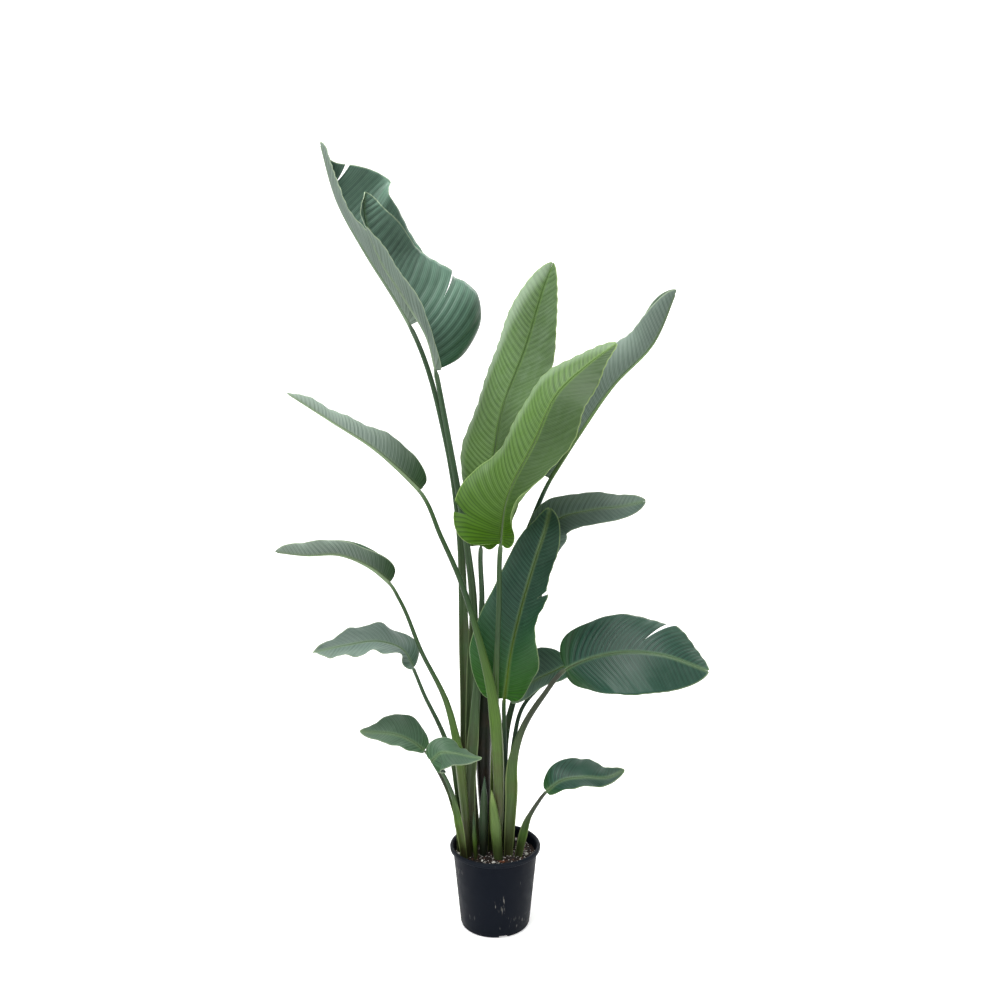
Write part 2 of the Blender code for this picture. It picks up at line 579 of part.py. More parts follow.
def build_pot():
    neck = POT_HEIGHT - POT_LIP_HEIGHT
    lip = POT_LIP_RADIUS
    profile = [
        (0, 0), (POT_BASE_RADIUS - POT_CORNER, 0), (POT_BASE_RADIUS - 0.0015, 0.0015),
        (POT_BASE_RADIUS, POT_CORNER), (POT_NECK_RADIUS, neck), (lip - 0.0015, neck),
        (lip, neck + 0.002), (lip, POT_HEIGHT - 0.003), (lip - 0.0025, POT_HEIGHT),
        (lip - 0.0065, POT_HEIGHT), (POT_NECK_RADIUS - POT_WALL, POT_HEIGHT - 0.006),
        (POT_NECK_RADIUS - POT_WALL, neck), (pot_inner_radius(POT_CORNER), POT_CORNER),
        (POT_BASE_RADIUS - POT_CORNER, POT_WALL), (0, POT_WALL),
    ]
    pot = turned("pot", profile, POT_SEGMENTS, "pot")
    for k in range(DRAIN_COUNT):
        angle = math.radians(DRAIN_FIRST_ANGLE + 360 / DRAIN_COUNT * k)
        add_cut(pot, drain_cutter(k, angle))


def drain_cutter(number, angle):
    # Slot through the bottom corner: part of the wall and part of the floor.
    inner = POT_BASE_RADIUS - DRAIN_REACH
    outer = POT_BASE_RADIUS + 0.01
    half = DRAIN_WIDTH / 2
    corners = []
    for z in (-0.005, DRAIN_HEIGHT):
        for r, s in ((inner, -half), (outer, -half), (outer, half), (inner, half)):
            corners.append((r * math.cos(angle) - s * math.sin(angle),
                            r * math.sin(angle) + s * math.cos(angle), z))
    faces = [(0, 3, 2, 1), (4, 5, 6, 7), (0, 1, 5, 4), (1, 2, 6, 5), (2, 3, 7, 6), (3, 0, 4, 7)]
    cutter = add_object("cut_drain_%d" % number, corners, faces, "pot")
    cutter.hide_render = True
    cutter.display_type = "WIRE"
    return cutter


def add_cut(target, cutter):
    cut = target.modifiers.new(cutter.name, "BOOLEAN")
    cut.operation = "DIFFERENCE"
    cut.solver = "EXACT"
    cut.object = cutter


def build_soil(cutters):
    foot = POT_WALL + GAP
    neck = POT_CORNER + GAP
    profile = [
        (0, foot), (POT_BASE_RADIUS - POT_CORNER - 2 * GAP, foot),
        (pot_inner_radius(neck) - GAP, neck), (pot_inner_radius(SOIL_TOP) - GAP, SOIL_TOP),
        (0, SOIL_TOP),
    ]
    soil = turned("soil", profile, POT_SEGMENTS, "soil")
    for cutter in cutters:
        add_cut(soil, cutter)


def build_lump(name, lump):
    # Low faceted lump with a flat underside, lying on the soil.
    x, y, length, width, height, turn = lump
    angle = math.radians(turn)
    base = SOIL_TOP + GAP
    vertices = []
    for share, level in ((0.8, 0.0), (1.0, 0.4), (0.55, 1.0)):
        for k in range(7):
            a = 2 * math.pi * k / 7
            uneven = 1 + 0.12 * math.sin(3 * a + turn)
            u = length / 2 * share * uneven * math.cos(a)
            v = width / 2 * share * uneven * math.sin(a)
            vertices.append((x + u * math.cos(angle) - v * math.sin(angle),
                             y + u * math.sin(angle) + v * math.cos(angle), base + height * level))
    faces = [tuple(range(6, -1, -1)), tuple(range(14, 21))]
    for ring in (0, 7):
        for k in range(7):
            n = (k + 1) % 7
            faces.append((ring + k, ring + n, ring + 7 + n, ring + 7 + k))
    add_object(name, vertices, faces, "perlite" if name.startswith("perlite") else "bark")


def build():
    clear_scene()
    cutters = [build_leaf(name, leaf) for name, leaf in LEAVES.items()]
    cutters += [build_shoot(name, shoot) for name, shoot in SHOOTS.items()]
    build_pot()
    build_soil(cutters)
    for name, lump in LUMPS.items():
        build_lump(name, lump)


build()
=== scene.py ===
# Potted bird of paradise in a blow moulded nursery pot, built round its CAD part.
import math

import bmesh
import bpy
import numpy as np
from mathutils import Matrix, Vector


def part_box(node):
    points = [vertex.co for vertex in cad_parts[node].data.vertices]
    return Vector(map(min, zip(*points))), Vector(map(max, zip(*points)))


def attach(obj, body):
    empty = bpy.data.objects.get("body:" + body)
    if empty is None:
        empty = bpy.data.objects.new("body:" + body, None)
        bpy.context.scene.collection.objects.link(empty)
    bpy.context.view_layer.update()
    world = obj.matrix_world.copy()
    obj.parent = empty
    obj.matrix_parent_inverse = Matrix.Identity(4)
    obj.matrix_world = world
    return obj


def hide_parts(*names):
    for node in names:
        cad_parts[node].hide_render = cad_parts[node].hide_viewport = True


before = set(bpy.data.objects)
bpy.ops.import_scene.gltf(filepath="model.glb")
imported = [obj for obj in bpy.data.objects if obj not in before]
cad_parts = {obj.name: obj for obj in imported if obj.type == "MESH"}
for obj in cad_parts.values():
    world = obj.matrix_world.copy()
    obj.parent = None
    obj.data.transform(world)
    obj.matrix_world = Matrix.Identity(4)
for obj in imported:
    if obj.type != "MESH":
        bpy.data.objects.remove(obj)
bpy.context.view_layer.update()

viewer = dict(place=(0.008, -2.587, 1.487), tilt=83.7, lens=34.56)

cameraData = bpy.data.cameras.new("camera")
cameraData.lens = viewer["lens"]
cameraData.sensor_width = 36
camera = bpy.data.objects.new("camera", cameraData)
camera.location = viewer["place"]
camera.rotation_euler = (math.radians(viewer["tilt"]), 0, 0)
bpy.context.scene.collection.objects.link(camera)
bpy.context.scene.camera = camera


def toLinear(hexCode, alpha=1.0):
    # sRGB hex to the linear values a shader wants
    parts = [int(hexCode[i:i + 2], 16) / 255 for i in (1, 3, 5)]
    return tuple(c / 12.92 if c <= 0.04045 else ((c + 0.055) / 1.055) ** 2.4 for c in parts) + (alpha,)


def fillSockets(tree, sockets, values):
    # a socket takes a link, a hex colour or a plain value
    for key, value in values.items():
        if isinstance(value, bpy.types.NodeSocket):
            tree.links.new(value, sockets[key])
        else:
            sockets[key].default_value = toLinear(value) if isinstance(value, str) else value


def addNode(tree, kind, values=None, out=0, stops=(), **settings):
    # one node: settings, socket values or links, ramp stops; gives one output, or the node for None
    node = tree.nodes.new(kind)
    for key, value in settings.items():
        setattr(node, key, value)
    fillSockets(tree, node.inputs, values or {})
    if stops:
        ramp = node.color_ramp.elements
        while len(ramp) < len(stops):
            ramp.new(0.5)
        for element, (place, colour) in zip(ramp, stops):
            element.position = place
            element.color = toLinear(colour)
    return node if out is None else node.outputs[out]


def calc(tree, operation, *values):
    return addNode(tree, "ShaderNodeMath", dict(enumerate(values)), operation=operation)


def remap(tree, value, fromLow, fromHigh, toLow=0.0, toHigh=1.0, **settings):
    return addNode(tree, "ShaderNodeMapRange", {"Value": value, "From Min": fromLow, "From Max": fromHigh,
                                                "To Min": toLow, "To Max": toHigh}, **settings)


def blend(tree, share, first, second, **settings):
    return addNode(tree, "ShaderNodeMixRGB", {"Fac": share, "Color1": first, "Color2": second}, **settings)


def noise(tree, place, scale, detail, roughness=0.5):
    values = {"Vector": place, "Scale": scale, "Detail": detail, "Roughness": roughness}
    return addNode(tree, "ShaderNodeTexNoise", values)


def tones(tree, value, *stops):
    return addNode(tree, "ShaderNodeValToRGB", {"Fac": value}, stops=stops)


def bump(tree, height, strength, distance):
    return addNode(tree, "ShaderNodeBump", {"Height": height, "Strength": strength, "Distance": distance})


def stored(tree, name):
    return addNode(tree, "ShaderNodeAttribute", out="Fac", attribute_name=name)


def objectPlace(tree):
    return addNode(tree, "ShaderNodeTexCoord", out="Object")


def newFinish(name, paint):
    # material whose shader takes what paint(tree) gives
    finish = bpy.data.materials.new(name)
    finish.use_nodes = True
    tree = finish.node_tree
    fillSockets(tree, tree.nodes["Principled BSDF"].inputs, paint(tree))
    return finish


def unit(vectors):
    return vectors / np.linalg.norm(vectors, axis=-1, keepdims=True)


def direction(azimuth, elevation):
    a, e = np.radians(azimuth), np.radians(elevation)
    return np.stack([np.cos(e) * np.cos(a), np.cos(e) * np.sin(a), np.sin(e)], -1)


def ease(x):
    x = np.clip(x, 0, 1)
    return x * x * (3 - 2 * x)


def smoothKeys(keys, at):
    # smooth curve through rows of (position, values...)
    keys = np.array(keys, float)
    place, value = keys[:, 0], keys[:, 1:]
    slope = np.gradient(value, place, axis=0)
    cell = np.clip(np.searchsorted(place, at, side="right") - 1, 0, len(place) - 2)
    span = place[cell + 1] - place[cell]
    x = np.clip((at - place[cell]) / span, 0, 1)
    return ((2 * x**3 - 3 * x**2 + 1)[:, None] * value[cell]
            + ((x**3 - 2 * x**2 + x) * span)[:, None] * slope[cell]
            + (3 * x**2 - 2 * x**3)[:, None] * value[cell + 1]
            + ((x**3 - x**2) * span)[:, None] * slope[cell + 1])


def chordPlaces(points):
    steps = np.linalg.norm(np.diff(points, axis=0), axis=1)
    total = np.concatenate([[0.0], np.cumsum(steps)])
    return total / total[-1]


def ribCourse(leaf):
    # midrib line with its tangent, upper side and right side at even steps
    rows = np.array(leaf["rib"], float)
    place = chordPlaces(rows[:, :3])
    at = np.linspace(0, 1, 201)
    path = smoothKeys(np.column_stack([place, rows[:, :3]]), at)
    tangent = unit(np.gradient(path, axis=0))
    upper = smoothKeys(np.column_stack([place, direction(rows[:, 3], rows[:, 4])]), at)
    upper = unit(upper - (upper * tangent).sum(1)[:, None] * tangent)
    return dict(path=path, tangent=tangent, upper=upper, right=np.cross(tangent, upper),
                length=np.linalg.norm(np.diff(path, axis=0), axis=1).sum())


def sampleCourse(course, at):
    # before 0 the line runs straight back
    inside = np.clip(at, 0, 1)
    spot = inside * (len(course["path"]) - 1)
    low = np.minimum(spot.astype(int), len(course["path"]) - 2)
    part = (spot - low)[..., None]
    found = {key: course[key][low] * (1 - part) + course[key][low + 1] * part
             for key in ("path", "tangent", "upper", "right")}
    found["path"] = found["path"] + found["tangent"] * ((at - inside) * course["length"])[..., None]
    return found


def outlineShape(u):
    # half width as a share of the widest, joint to tip
    a, b = 0.42, 0.66
    peak = (a / (a + b)) ** a * (b / (a + b)) ** b
    return np.clip(u, 1e-6, 1) ** a * np.clip(1 - u, 0, 1) ** b / peak


def veinStarts(u, leaf, course):
    widths = smoothKeys(leaf["section"], u)
    mean = (widths[:, 0] + widths[:, 3]) / 2 * outlineShape(u)
    return u - 0.90 * mean / course["length"] * u / (u + 0.12)


def ribHalf(u, leaf):
    # half width of the midrib, joint to tip
    return 0.5 * leaf["girth"][2] * leaf.get("ribWide", 1.0) * (0.06 + 0.32 * (1 - u) ** 1.2)


def buildMesh(name, points, faces, uv=None, values=None, zones=None):
    # mesh from arrays: quads as an (n, 4) array, or a list of any faces
    mesh = bpy.data.meshes.new(name)
    if isinstance(faces, np.ndarray):
        mesh.vertices.add(len(points))
        mesh.vertices.foreach_set("co", np.asarray(points, np.float32).ravel())
        mesh.loops.add(faces.size)
        mesh.loops.foreach_set("vertex_index", faces.astype(np.int32).ravel())
        mesh.polygons.add(len(faces))
        mesh.polygons.foreach_set("loop_start", np.arange(0, faces.size, 4, dtype=np.int32))
        mesh.update(calc_edges=True)
    else:
        mesh.from_pydata([tuple(map(float, p)) for p in points], [], faces)
    if zones is not None:
        mesh.polygons.foreach_set("material_index", np.asarray(zones, np.int32))
    loops = np.zeros(len(mesh.loops), np.int32)
    mesh.loops.foreach_get("vertex_index", loops)
    if uv is not None:
        mesh.uv_layers.new(name="lay").data.foreach_set("uv", np.asarray(uv, np.float32)[loops].ravel())
    for key, data in (values or {}).items():
        layer = mesh.attributes.new(key, "FLOAT", "POINT")
        layer.data.foreach_set("value", np.asarray(data, np.float32).ravel())
    mesh.validate()
    mesh.shade_smooth()
    return mesh


def addPiece(name, mesh, finishes, nodes):
    piece = bpy.data.objects.new(name, mesh)
    bpy.context.scene.collection.objects.link(piece)
    if len(mesh.materials):
        mesh.materials.clear()
    for finish in finishes:
        mesh.materials.append(finish)
    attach(piece, "root")
    if nodes:
        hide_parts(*nodes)
    return piece


bladeDetail = dict(rowStep=0.0026, columns=18, thickness=0.0009, pleatPower=0.7, curlSteps=16, veinBend=1.3,
                   waveGrowth=2.2, ripple=0.0011, rippleLength=0.0062, tearReach=0.035)


def halfSheet(leaf, course, side, chance):
    # middle surface of one half: rows run along the veins, columns from midrib to margin
    length = course["length"]
    count = int(length / bladeDetail["rowStep"])
    u = 0.002 + 0.9965 * (0.5 - 0.5 * np.cos(np.linspace(0.03, 1, count) * math.pi)) ** 0.92
    tears = [t for t in leaf.get("tears", []) if (t[0] == "left") == (side < 0)]
    for tear in tears:
        u = np.concatenate([u, [tear[1], tear[1]]])
    u = np.sort(u)
    keys = smoothKeys(leaf["section"], u)
    first = 0 if side < 0 else 3
    width = keys[:, first] * outlineShape(u)
    rise = np.radians(keys[:, first + 1])[:, None]
    curl = np.radians(keys[:, first + 2])[:, None]
    inner = np.minimum(ribHalf(u, leaf) / np.maximum(width, 1e-5), 0.5)[:, None]
    v = inner + (1 - inner) * np.linspace(0, 1, bladeDetail["columns"])
    start = veinStarts(u, leaf, course)
    lobe = leaf["lobe"] * (u / 0.06) * np.exp(1 - u / 0.06)
    at = start[:, None] + (u - lobe - start)[:, None] * v ** bladeDetail["veinBend"]
    found = sampleCourse(course, at)
    out, up = np.zeros_like(at), np.zeros_like(at)
    steps = bladeDetail["curlSteps"]
    for step in range(steps):
        angle = rise + curl * ((step + 0.5) / steps * v) ** 1.3
        out += np.cos(angle) * v / steps
        up += np.sin(angle) * v / steps
    grid = (found["path"] + found["right"] * (side * out * width[:, None])[..., None]
            + found["upper"] * (up * width[:, None])[..., None])
    across = np.gradient(grid, axis=1)
    along = np.gradient(grid, axis=0)
    stuck = np.linalg.norm(along[:-1], axis=-1, keepdims=True) < 1e-9
    along[:-1] = np.where(stuck, along[1:], along[:-1])
    normal = unit(np.cross(across, along)) * side
    along = unit(along)

    # pleats between the side veins, uneven in width and height
    metres = (start * length)[:, None] * np.ones_like(v)
    size, spacing = leaf["pleat"]
    run = metres / spacing + 0.35 * np.sin(metres / 0.031 + chance.random() * 6)
    heights = 0.6 + 0.7 * chance.random(400)
    height = heights[np.clip(run.astype(int), 0, 399)]
    crest = np.abs(np.sin(math.pi * run)) ** bladeDetail["pleatPower"]
    hold = ease((v - inner) / 0.12) * (1 - 0.75 * ease((v - 0.72) / 0.28)) * ease(width[:, None] / 0.03)
    lift = size * height * (crest - 0.6) * hold
    # slow waves and small ripples that grow towards the margin
    tall, waves, phase = leaf["wave"]
    turn = phase + (1.7 if side > 0 else 0)
    lift = lift + tall * np.sin(2 * math.pi * waves * u[:, None] + turn) * v ** bladeDetail["waveGrowth"]
    ripple = bladeDetail["ripple"] * np.sin(metres / bladeDetail["rippleLength"] + 2 * turn)
    lift = lift + ripple * v**4 * ease(width[:, None] / 0.04)
    for _, place, deep, gap, drop in tears:
        away = (u[:, None] - place) * length
        same = np.flatnonzero(np.isclose(u, place))[:2]
        sign = np.where(np.arange(len(u)) >= same[1], 1.0, -1.0)[:, None]
        reach = np.clip((v - deep) / (1 - deep), 0, 1) ** 1.3
        fall = np.exp(-(away / bladeDetail["tearReach"]) ** 2)
        grid = grid + along * (sign * gap / 2 * reach * fall)[..., None]
        lift = lift + sign * drop / 2 * reach * fall
    grid = grid + normal * lift[..., None]

    # index grid, opened at the tears
    rows, columns = v.shape
    index = np.arange(rows * columns).reshape(rows, columns)
    keep = np.ones(rows - 1, bool)
    for _, place, deep, *_ in tears:
        same = np.flatnonzero(np.isclose(u, place))[0]
        closed = v[same] <= deep
        index[same + 1, closed] = index[same, closed]
        keep[same] = False
    quads = np.stack([index[:-1, :-1], index[:-1, 1:], index[1:, 1:], index[1:, :-1]], -1)[keep]
    quads = quads.reshape(-1, 4)
    if side < 0:
        quads = quads[:, ::-1]
    flat = lambda a: np.broadcast_to(a, v.shape).reshape(-1)
    # crest and half steer painted shade in the shader: crest is low in the pleat valleys, half marks the right half
    return dict(grid=grid.reshape(-1, 3), normal=normal.reshape(-1, 3), quads=quads,
                uv=np.stack([flat(metres), flat(v * width[:, None])], -1),
                edge=flat((1 - v) * width[:, None]), crest=flat(crest * hold + (1 - hold)),
                share=flat(u[:, None] * np.ones_like(v)), half=flat(0.0 if side < 0 else 1.0))


def thickSheet(sheets, thickness):
    # closes each half into a thin body: upper face, underside and rim
    quads, rims = [], []
    total = sum(len(s["grid"]) for s in sheets)
    base = 0
    for sheet in sheets:
        faces = sheet["quads"] + base
        a, b = faces.reshape(-1), np.roll(faces, -1, axis=1).reshape(-1)
        forward, back = a.astype(np.int64) * total + b, b.astype(np.int64) * total + a
        lone = ~np.isin(forward, back)
        a, b = a[lone], b[lone]
        quads.append(faces)
        rims.append(np.stack([b, a, a + total, b + total], -1))
        base += len(sheet["grid"])
    grid = np.concatenate([s["grid"] for s in sheets])
    normal = np.concatenate([s["normal"] for s in sheets])
    top, rim = np.concatenate(quads), np.concatenate(rims)
    points = np.concatenate([grid + normal * thickness / 2, grid - normal * thickness / 2])
    faces = np.concatenate([top, top[:, ::-1] + total, rim])
    zones = np.concatenate([np.zeros(len(top)), np.ones(len(top)), np.full(len(rim), 2)])
    used, inverse = np.unique(faces, return_inverse=True)
    gather = lambda key: np.concatenate([s[key] for s in sheets] * 2)[used]
    return (points[used], inverse.reshape(faces.shape), gather("uv"),
            {key: gather(key) for key in ("edge", "crest", "share", "half")}, zones)


def makeBlade(leaf, course):
    chance = np.random.default_rng(len(leaf["name"]) * 7 + leaf["seed"])
    sheets = [halfSheet(leaf, course, side, chance) for side in (-1, 1)]
    points, faces, uv, values, zones = thickSheet(sheets, bladeDetail["thickness"])
    node = "blade_" + leaf["name"]
    mesh = buildMesh(node, points, faces, uv, values, zones)
    addPiece("leaf_" + leaf["name"], mesh, bladeFinishes[leaf["blade"]], [node])


stalkDetail = dict(rings=84, ribRings=70, bottom=13, top=11)


def stalkLine(leaf, course):
    # centre line, upper side and size, from the foot to the blade's tip
    u = np.linspace(0.004, 0.992, stalkDetail["ribRings"])
    rib = sampleCourse(course, veinStarts(u, leaf, course))
    keys = smoothKeys(leaf["section"], u)
    girth = leaf["girth"]
    ribWidth = 2 * ribHalf(u, leaf)
    ribDepth = 0.85 * (0.22 + 0.78 * (1 - u)) * girth[2]
    ribPath = rib["path"] - rib["upper"] * (0.42 * ribDepth)[:, None]
    points = np.array(leaf["stem"] + [tuple(ribPath[0]), tuple(ribPath[8])])
    place = chordPlaces(points)
    joint = place[-2]
    at = np.linspace(0, joint, stalkDetail["rings"], endpoint=False)
    path = smoothKeys(np.column_stack([place, points]), at)
    share = at / joint
    base, wide, top = girth
    marks = (0, 0.15, 0.4, 0.65, 1)
    width = np.interp(share, marks, (base, (base + wide) / 2, wide, (wide + 2 * top) / 3, top))
    depth = width * np.interp(share, marks, (0.60, 0.50, 0.42, 0.66, 0.84))
    inward = np.array([0.0, 1.0 if rib["upper"][0][1] > 0 else -1.0, 0.0])
    turn = ease((share - 0.25) / 0.75)[:, None]
    upper = inward * (1 - turn) + rib["upper"][0] * turn
    return dict(path=np.concatenate([path, ribPath]), upper=np.concatenate([upper, rib["upper"]]),
                width=np.concatenate([width, ribWidth]), depth=np.concatenate([depth, ribDepth]),
                share=np.concatenate([share, 1 + u]),
                keel=np.concatenate([width / 2, 0.5 * girth[2] * (0.18 + 0.62 * (1 - u))]),
                riseLeft=np.concatenate([0 * share, np.radians(keys[:, 1])]),
                riseRight=np.concatenate([0 * share, np.radians(keys[:, 4])]))


def stalkMesh(name, line, sheath, wing=0.004):
    # section from bottom arc, rims and top: clasping sheath, then a grooved stalk, then a keeled midrib
    share, width, depth, path = (line[key] for key in ("share", "width", "depth", "path"))
    tangent = unit(np.gradient(path, axis=0))
    upper = unit(line["upper"] - (line["upper"] * tangent).sum(1)[:, None] * tangent)
    right = np.cross(tangent, upper)
    opened, closed = max(sheath) * 1.05, min(sheath) * 0.75
    wrap = 1 - ease((share - closed) / (opened - closed))
    keel = ease((share - 0.93) / 0.12)
    stalk = (1 - wrap) * (1 - keel)
    level = 0.42 * wrap + 0.02 * stalk + 0.42 * keel
    dome = 0.42 * stalk
    channel = 0.62 * wrap + 0.42 * keel
    groove = 0.13 * stalk
    rims = []
    for end in sheath:
        # each rim of the sheath stands up a little, then stops short in a point
        height = wing * (0.35 + 0.65 * ease(share / end)) * np.where(share < end, 1, 0)
        rims.append(height * np.clip(1 - (share / end) ** 14, 0, 1) + 0.0002)
    half = width / 2
    bend = {-1: line["riseLeft"] * keel, 1: line["riseRight"] * keel}
    sideX = {s: s * half * np.cos(bend[s]) for s in (-1, 1)}
    sideY = {s: level * depth + half * np.sin(bend[s]) for s in (-1, 1)}
    floorY = -0.58 * depth
    ring = []
    for phi in np.linspace(180, 360, stalkDetail["bottom"])[1:-1]:
        c, s = math.cos(math.radians(phi)), abs(math.sin(math.radians(phi)))
        k = -1 if c < 0 else 1
        belly = 1 + (line["keel"] / half - 1) * keel * min(1, 2 * s)
        ring.append((sideX[k] * abs(c) * belly, sideY[k] + (floorY - sideY[k]) * s**0.9, 0.0))
    lean = 0.45 * wrap
    ring.append((sideX[1] + rims[1] * lean, sideY[1] + rims[1] * 0.9, 1.0))
    for t in np.linspace(1, -1, stalkDetail["top"])[1:-1]:
        k = -1 if t < 0 else 1
        y = (sideY[k] * abs(t) + 0.5 * (sideY[1] + sideY[-1]) * (1 - abs(t))
             + dome * depth * math.sqrt(1 - t * t)
             - (channel * depth + 0.5 * half * (np.abs(np.sin(bend[k])))) * (1 - t * t)
             - groove * depth * math.exp(-(t / 0.3) ** 2))
        ring.append((sideX[k] * abs(t), y, 0.0))
    ring.append((sideX[-1] - rims[0] * lean, sideY[-1] + rims[0] * 0.9, 1.0))
    x = np.stack([r[0] * np.ones_like(share) for r in ring], 1)
    y = np.stack([r[1] * np.ones_like(share) for r in ring], 1)
    points = path[:, None] + right[:, None] * x[..., None] + upper[:, None] * y[..., None]
    rows, sides = x.shape
    index = np.arange(rows * sides).reshape(rows, sides)
    nextIndex = np.roll(index, -1, axis=1)
    quads = np.stack([index[:-1], nextIndex[:-1], nextIndex[1:], index[1:]], -1).reshape(-1, 4)
    along = np.concatenate([[0], np.cumsum(np.linalg.norm(np.diff(path, axis=0), axis=1))])
    faces = [tuple(q) for q in quads] + [tuple(index[0][::-1]), tuple(index[-1])]
    around = np.linspace(0, 1, sides)[None, :] * width[:, None] * 3
    uv = np.stack([np.broadcast_to(along[:, None], x.shape).ravel(), around.ravel()], -1)
    rim = np.array([r[2] for r in ring])[None, :] * wrap[:, None]
    spread = lambda a: np.broadcast_to(a[:, None], x.shape).ravel()
    return buildMesh(name, points.reshape(-1, 3), faces, uv, dict(share=spread(share), rim=rim.ravel()))


def makeStalk(leaf, course):
    line = stalkLine(leaf, course)
    node = "stem_" + leaf["name"]
    mesh = stalkMesh(node, line, leaf["sheath"])
    addPiece("stalk_" + leaf["name"], mesh, [stalkFinishes[leaf["stalk"]]], [node])


def makeLeaf(leaf):
    course = ribCourse(leaf)
    makeBlade(leaf, course)
    makeStalk(leaf, course)
    print("leaf", leaf["name"], "blade length", round(course["length"], 3))


def bladePaint(tree, look, part):
    # leathery evergreen leaf with a waxy skin: soft grey sheen, painted shade in the pleat valleys and on one half,
    # painted light in a band along one margin, fine side veins
    lay = addNode(tree, "ShaderNodeUVMap", uv_map="lay")
    fromRib = addNode(tree, "ShaderNodeSeparateXYZ", {"Vector": lay}, "Y")
    place = objectPlace(tree)
    crest, edge, half, share = (stored(tree, name) for name in ("crest", "edge", "half", "share"))
    # painted shade and light: darker in the pleat valleys, paler on the pleat crests
    pleatShading = tones(tree, crest, (0.0, part["valley"]), (0.55, part["middle"]), (1.0, part["crest"]))
    # painted shade: the right half (half = 1) takes its half colour, mostly darker than the rest
    shaded = blend(tree, calc(tree, "MULTIPLY", half, part["halfShadeShare"]), pleatShading, part["half"])
    # towards the foot the blade takes its base colour: the leaf's own greener base, and painted shade inside the arch
    # on the arched leaves' undersides
    toBase = remap(tree, share, 0.05, look["baseReach"], part["baseShare"], 0.0, interpolation_type="SMOOTHSTEP")
    based = blend(tree, toBase, shaded, part["base"])
    # slow mottling about 90 mm across
    mottle = tones(tree, noise(tree, place, 6.0, 2.0), (0.3, "#dcdcdc"), (0.7, "#ffffff"))
    toned = blend(tree, 0.8, based, mottle, blend_type="MULTIPLY")
    # fine side veins: real ones are 1.5 mm apart, drawn at 5 mm so that they show
    veins = {"Vector": lay, "Scale": 62.8, "Distortion": 0.8, "Detail": 2.0, "Detail Scale": 0.4}
    fine = addNode(tree, "ShaderNodeTexWave", veins, "Fac", wave_type="BANDS", bands_direction="X")
    fineTone = tones(tree, fine, (0.0, "#ffffff"), (0.75, "#f4f4f4"), (1.0, part["vein"]))
    veined = blend(tree, part["veinShare"], toned, fineTone, blend_type="MULTIPLY")
    # bloom: a pale film in patches 25 mm across, fuller towards the tip
    patch = noise(tree, place, 40.0, 4.0, 0.6)
    film = remap(tree, patch, 0.40, 0.80, part["bloom"] * 0.5, part["bloom"])
    reach = remap(tree, share, 0.15, 0.70, 0.05, 1.0)
    bloomed = blend(tree, calc(tree, "MULTIPLY", film, reach), veined, "#a9b8b0")
    # paler band 35 mm wide inside the margin of one half, waxy bloom and painted light where the rolled-back margin
    # faces the sky, stronger away from the foot of the leaf
    band = remap(tree, edge, 0.010, 0.036, part["fringeLight"], 0.0, interpolation_type="SMOOTHSTEP")
    bandLeft = calc(tree, "MULTIPLY", band, calc(tree, "SUBTRACT", 1.0, half))
    fringeLit = blend(tree, calc(tree, "MULTIPLY", bandLeft, reach), bloomed, "#93a58f")
    # pale line 2 mm wide along the margin, yellowish strip beside the midrib
    lined = blend(tree, remap(tree, edge, 0.0012, 0.0028, look["marginShare"], 0.0), fringeLit, look["margin"])
    whole = blend(tree, remap(tree, fromRib, 0.002, 0.009, 0.35, 0.0), lined, look["rib"])
    rough = remap(tree, patch, 0.3, 0.7, part["rough"] - 0.05, part["rough"] + 0.10)
    return {"Base Color": whole, "Roughness": rough, "Normal": bump(tree, fine, 0.35, 0.0006),
            "Specular IOR Level": part["sheen"]}


def marginPaint(tree, look):
    # the cut edge of the blade, pale with a few dry brown stretches 60 mm long
    dry = noise(tree, objectPlace(tree), 16.0, 3.0)
    tone = tones(tree, dry, (0.0, look["margin"]), (0.60, look["margin"]), (0.72, "#8a7350"))
    return {"Base Color": tone, "Roughness": 0.55}


def bladeFinish(name, look):
    made = [newFinish(name + face.title(), lambda tree: bladePaint(tree, look, look[face]))
            for face in ("upper", "under")]
    return made + [newFinish(name + "Margin", lambda tree: marginPaint(tree, look))]


# undersides shared by several leaves
paleUnder = dict(valley="#4e6354", middle="#64766a", crest="#75867b", half="#64766a", halfShadeShare=0.3,
                 vein="#b4bcae", veinShare=0.85, bloom=0.1, rough=0.5, base="#52694a", baseShare=0.3,
                 fringeLight=0.1, sheen=0.16)
darkUnder = dict(paleUnder, valley="#425747", middle="#56695c", crest="#66786c", half="#56695c", veinShare=0.8,
                 base="#486440")
youngUnder = dict(valley="#5c7840", middle="#6b874c", crest="#7a945e", half="#6b874c", halfShadeShare=0.3,
                  vein="#bcc4a8", veinShare=0.8, bloom=0.14, rough=0.5, base="#587a2a", baseShare=0.5,
                  fringeLight=0.2, sheen=0.12)

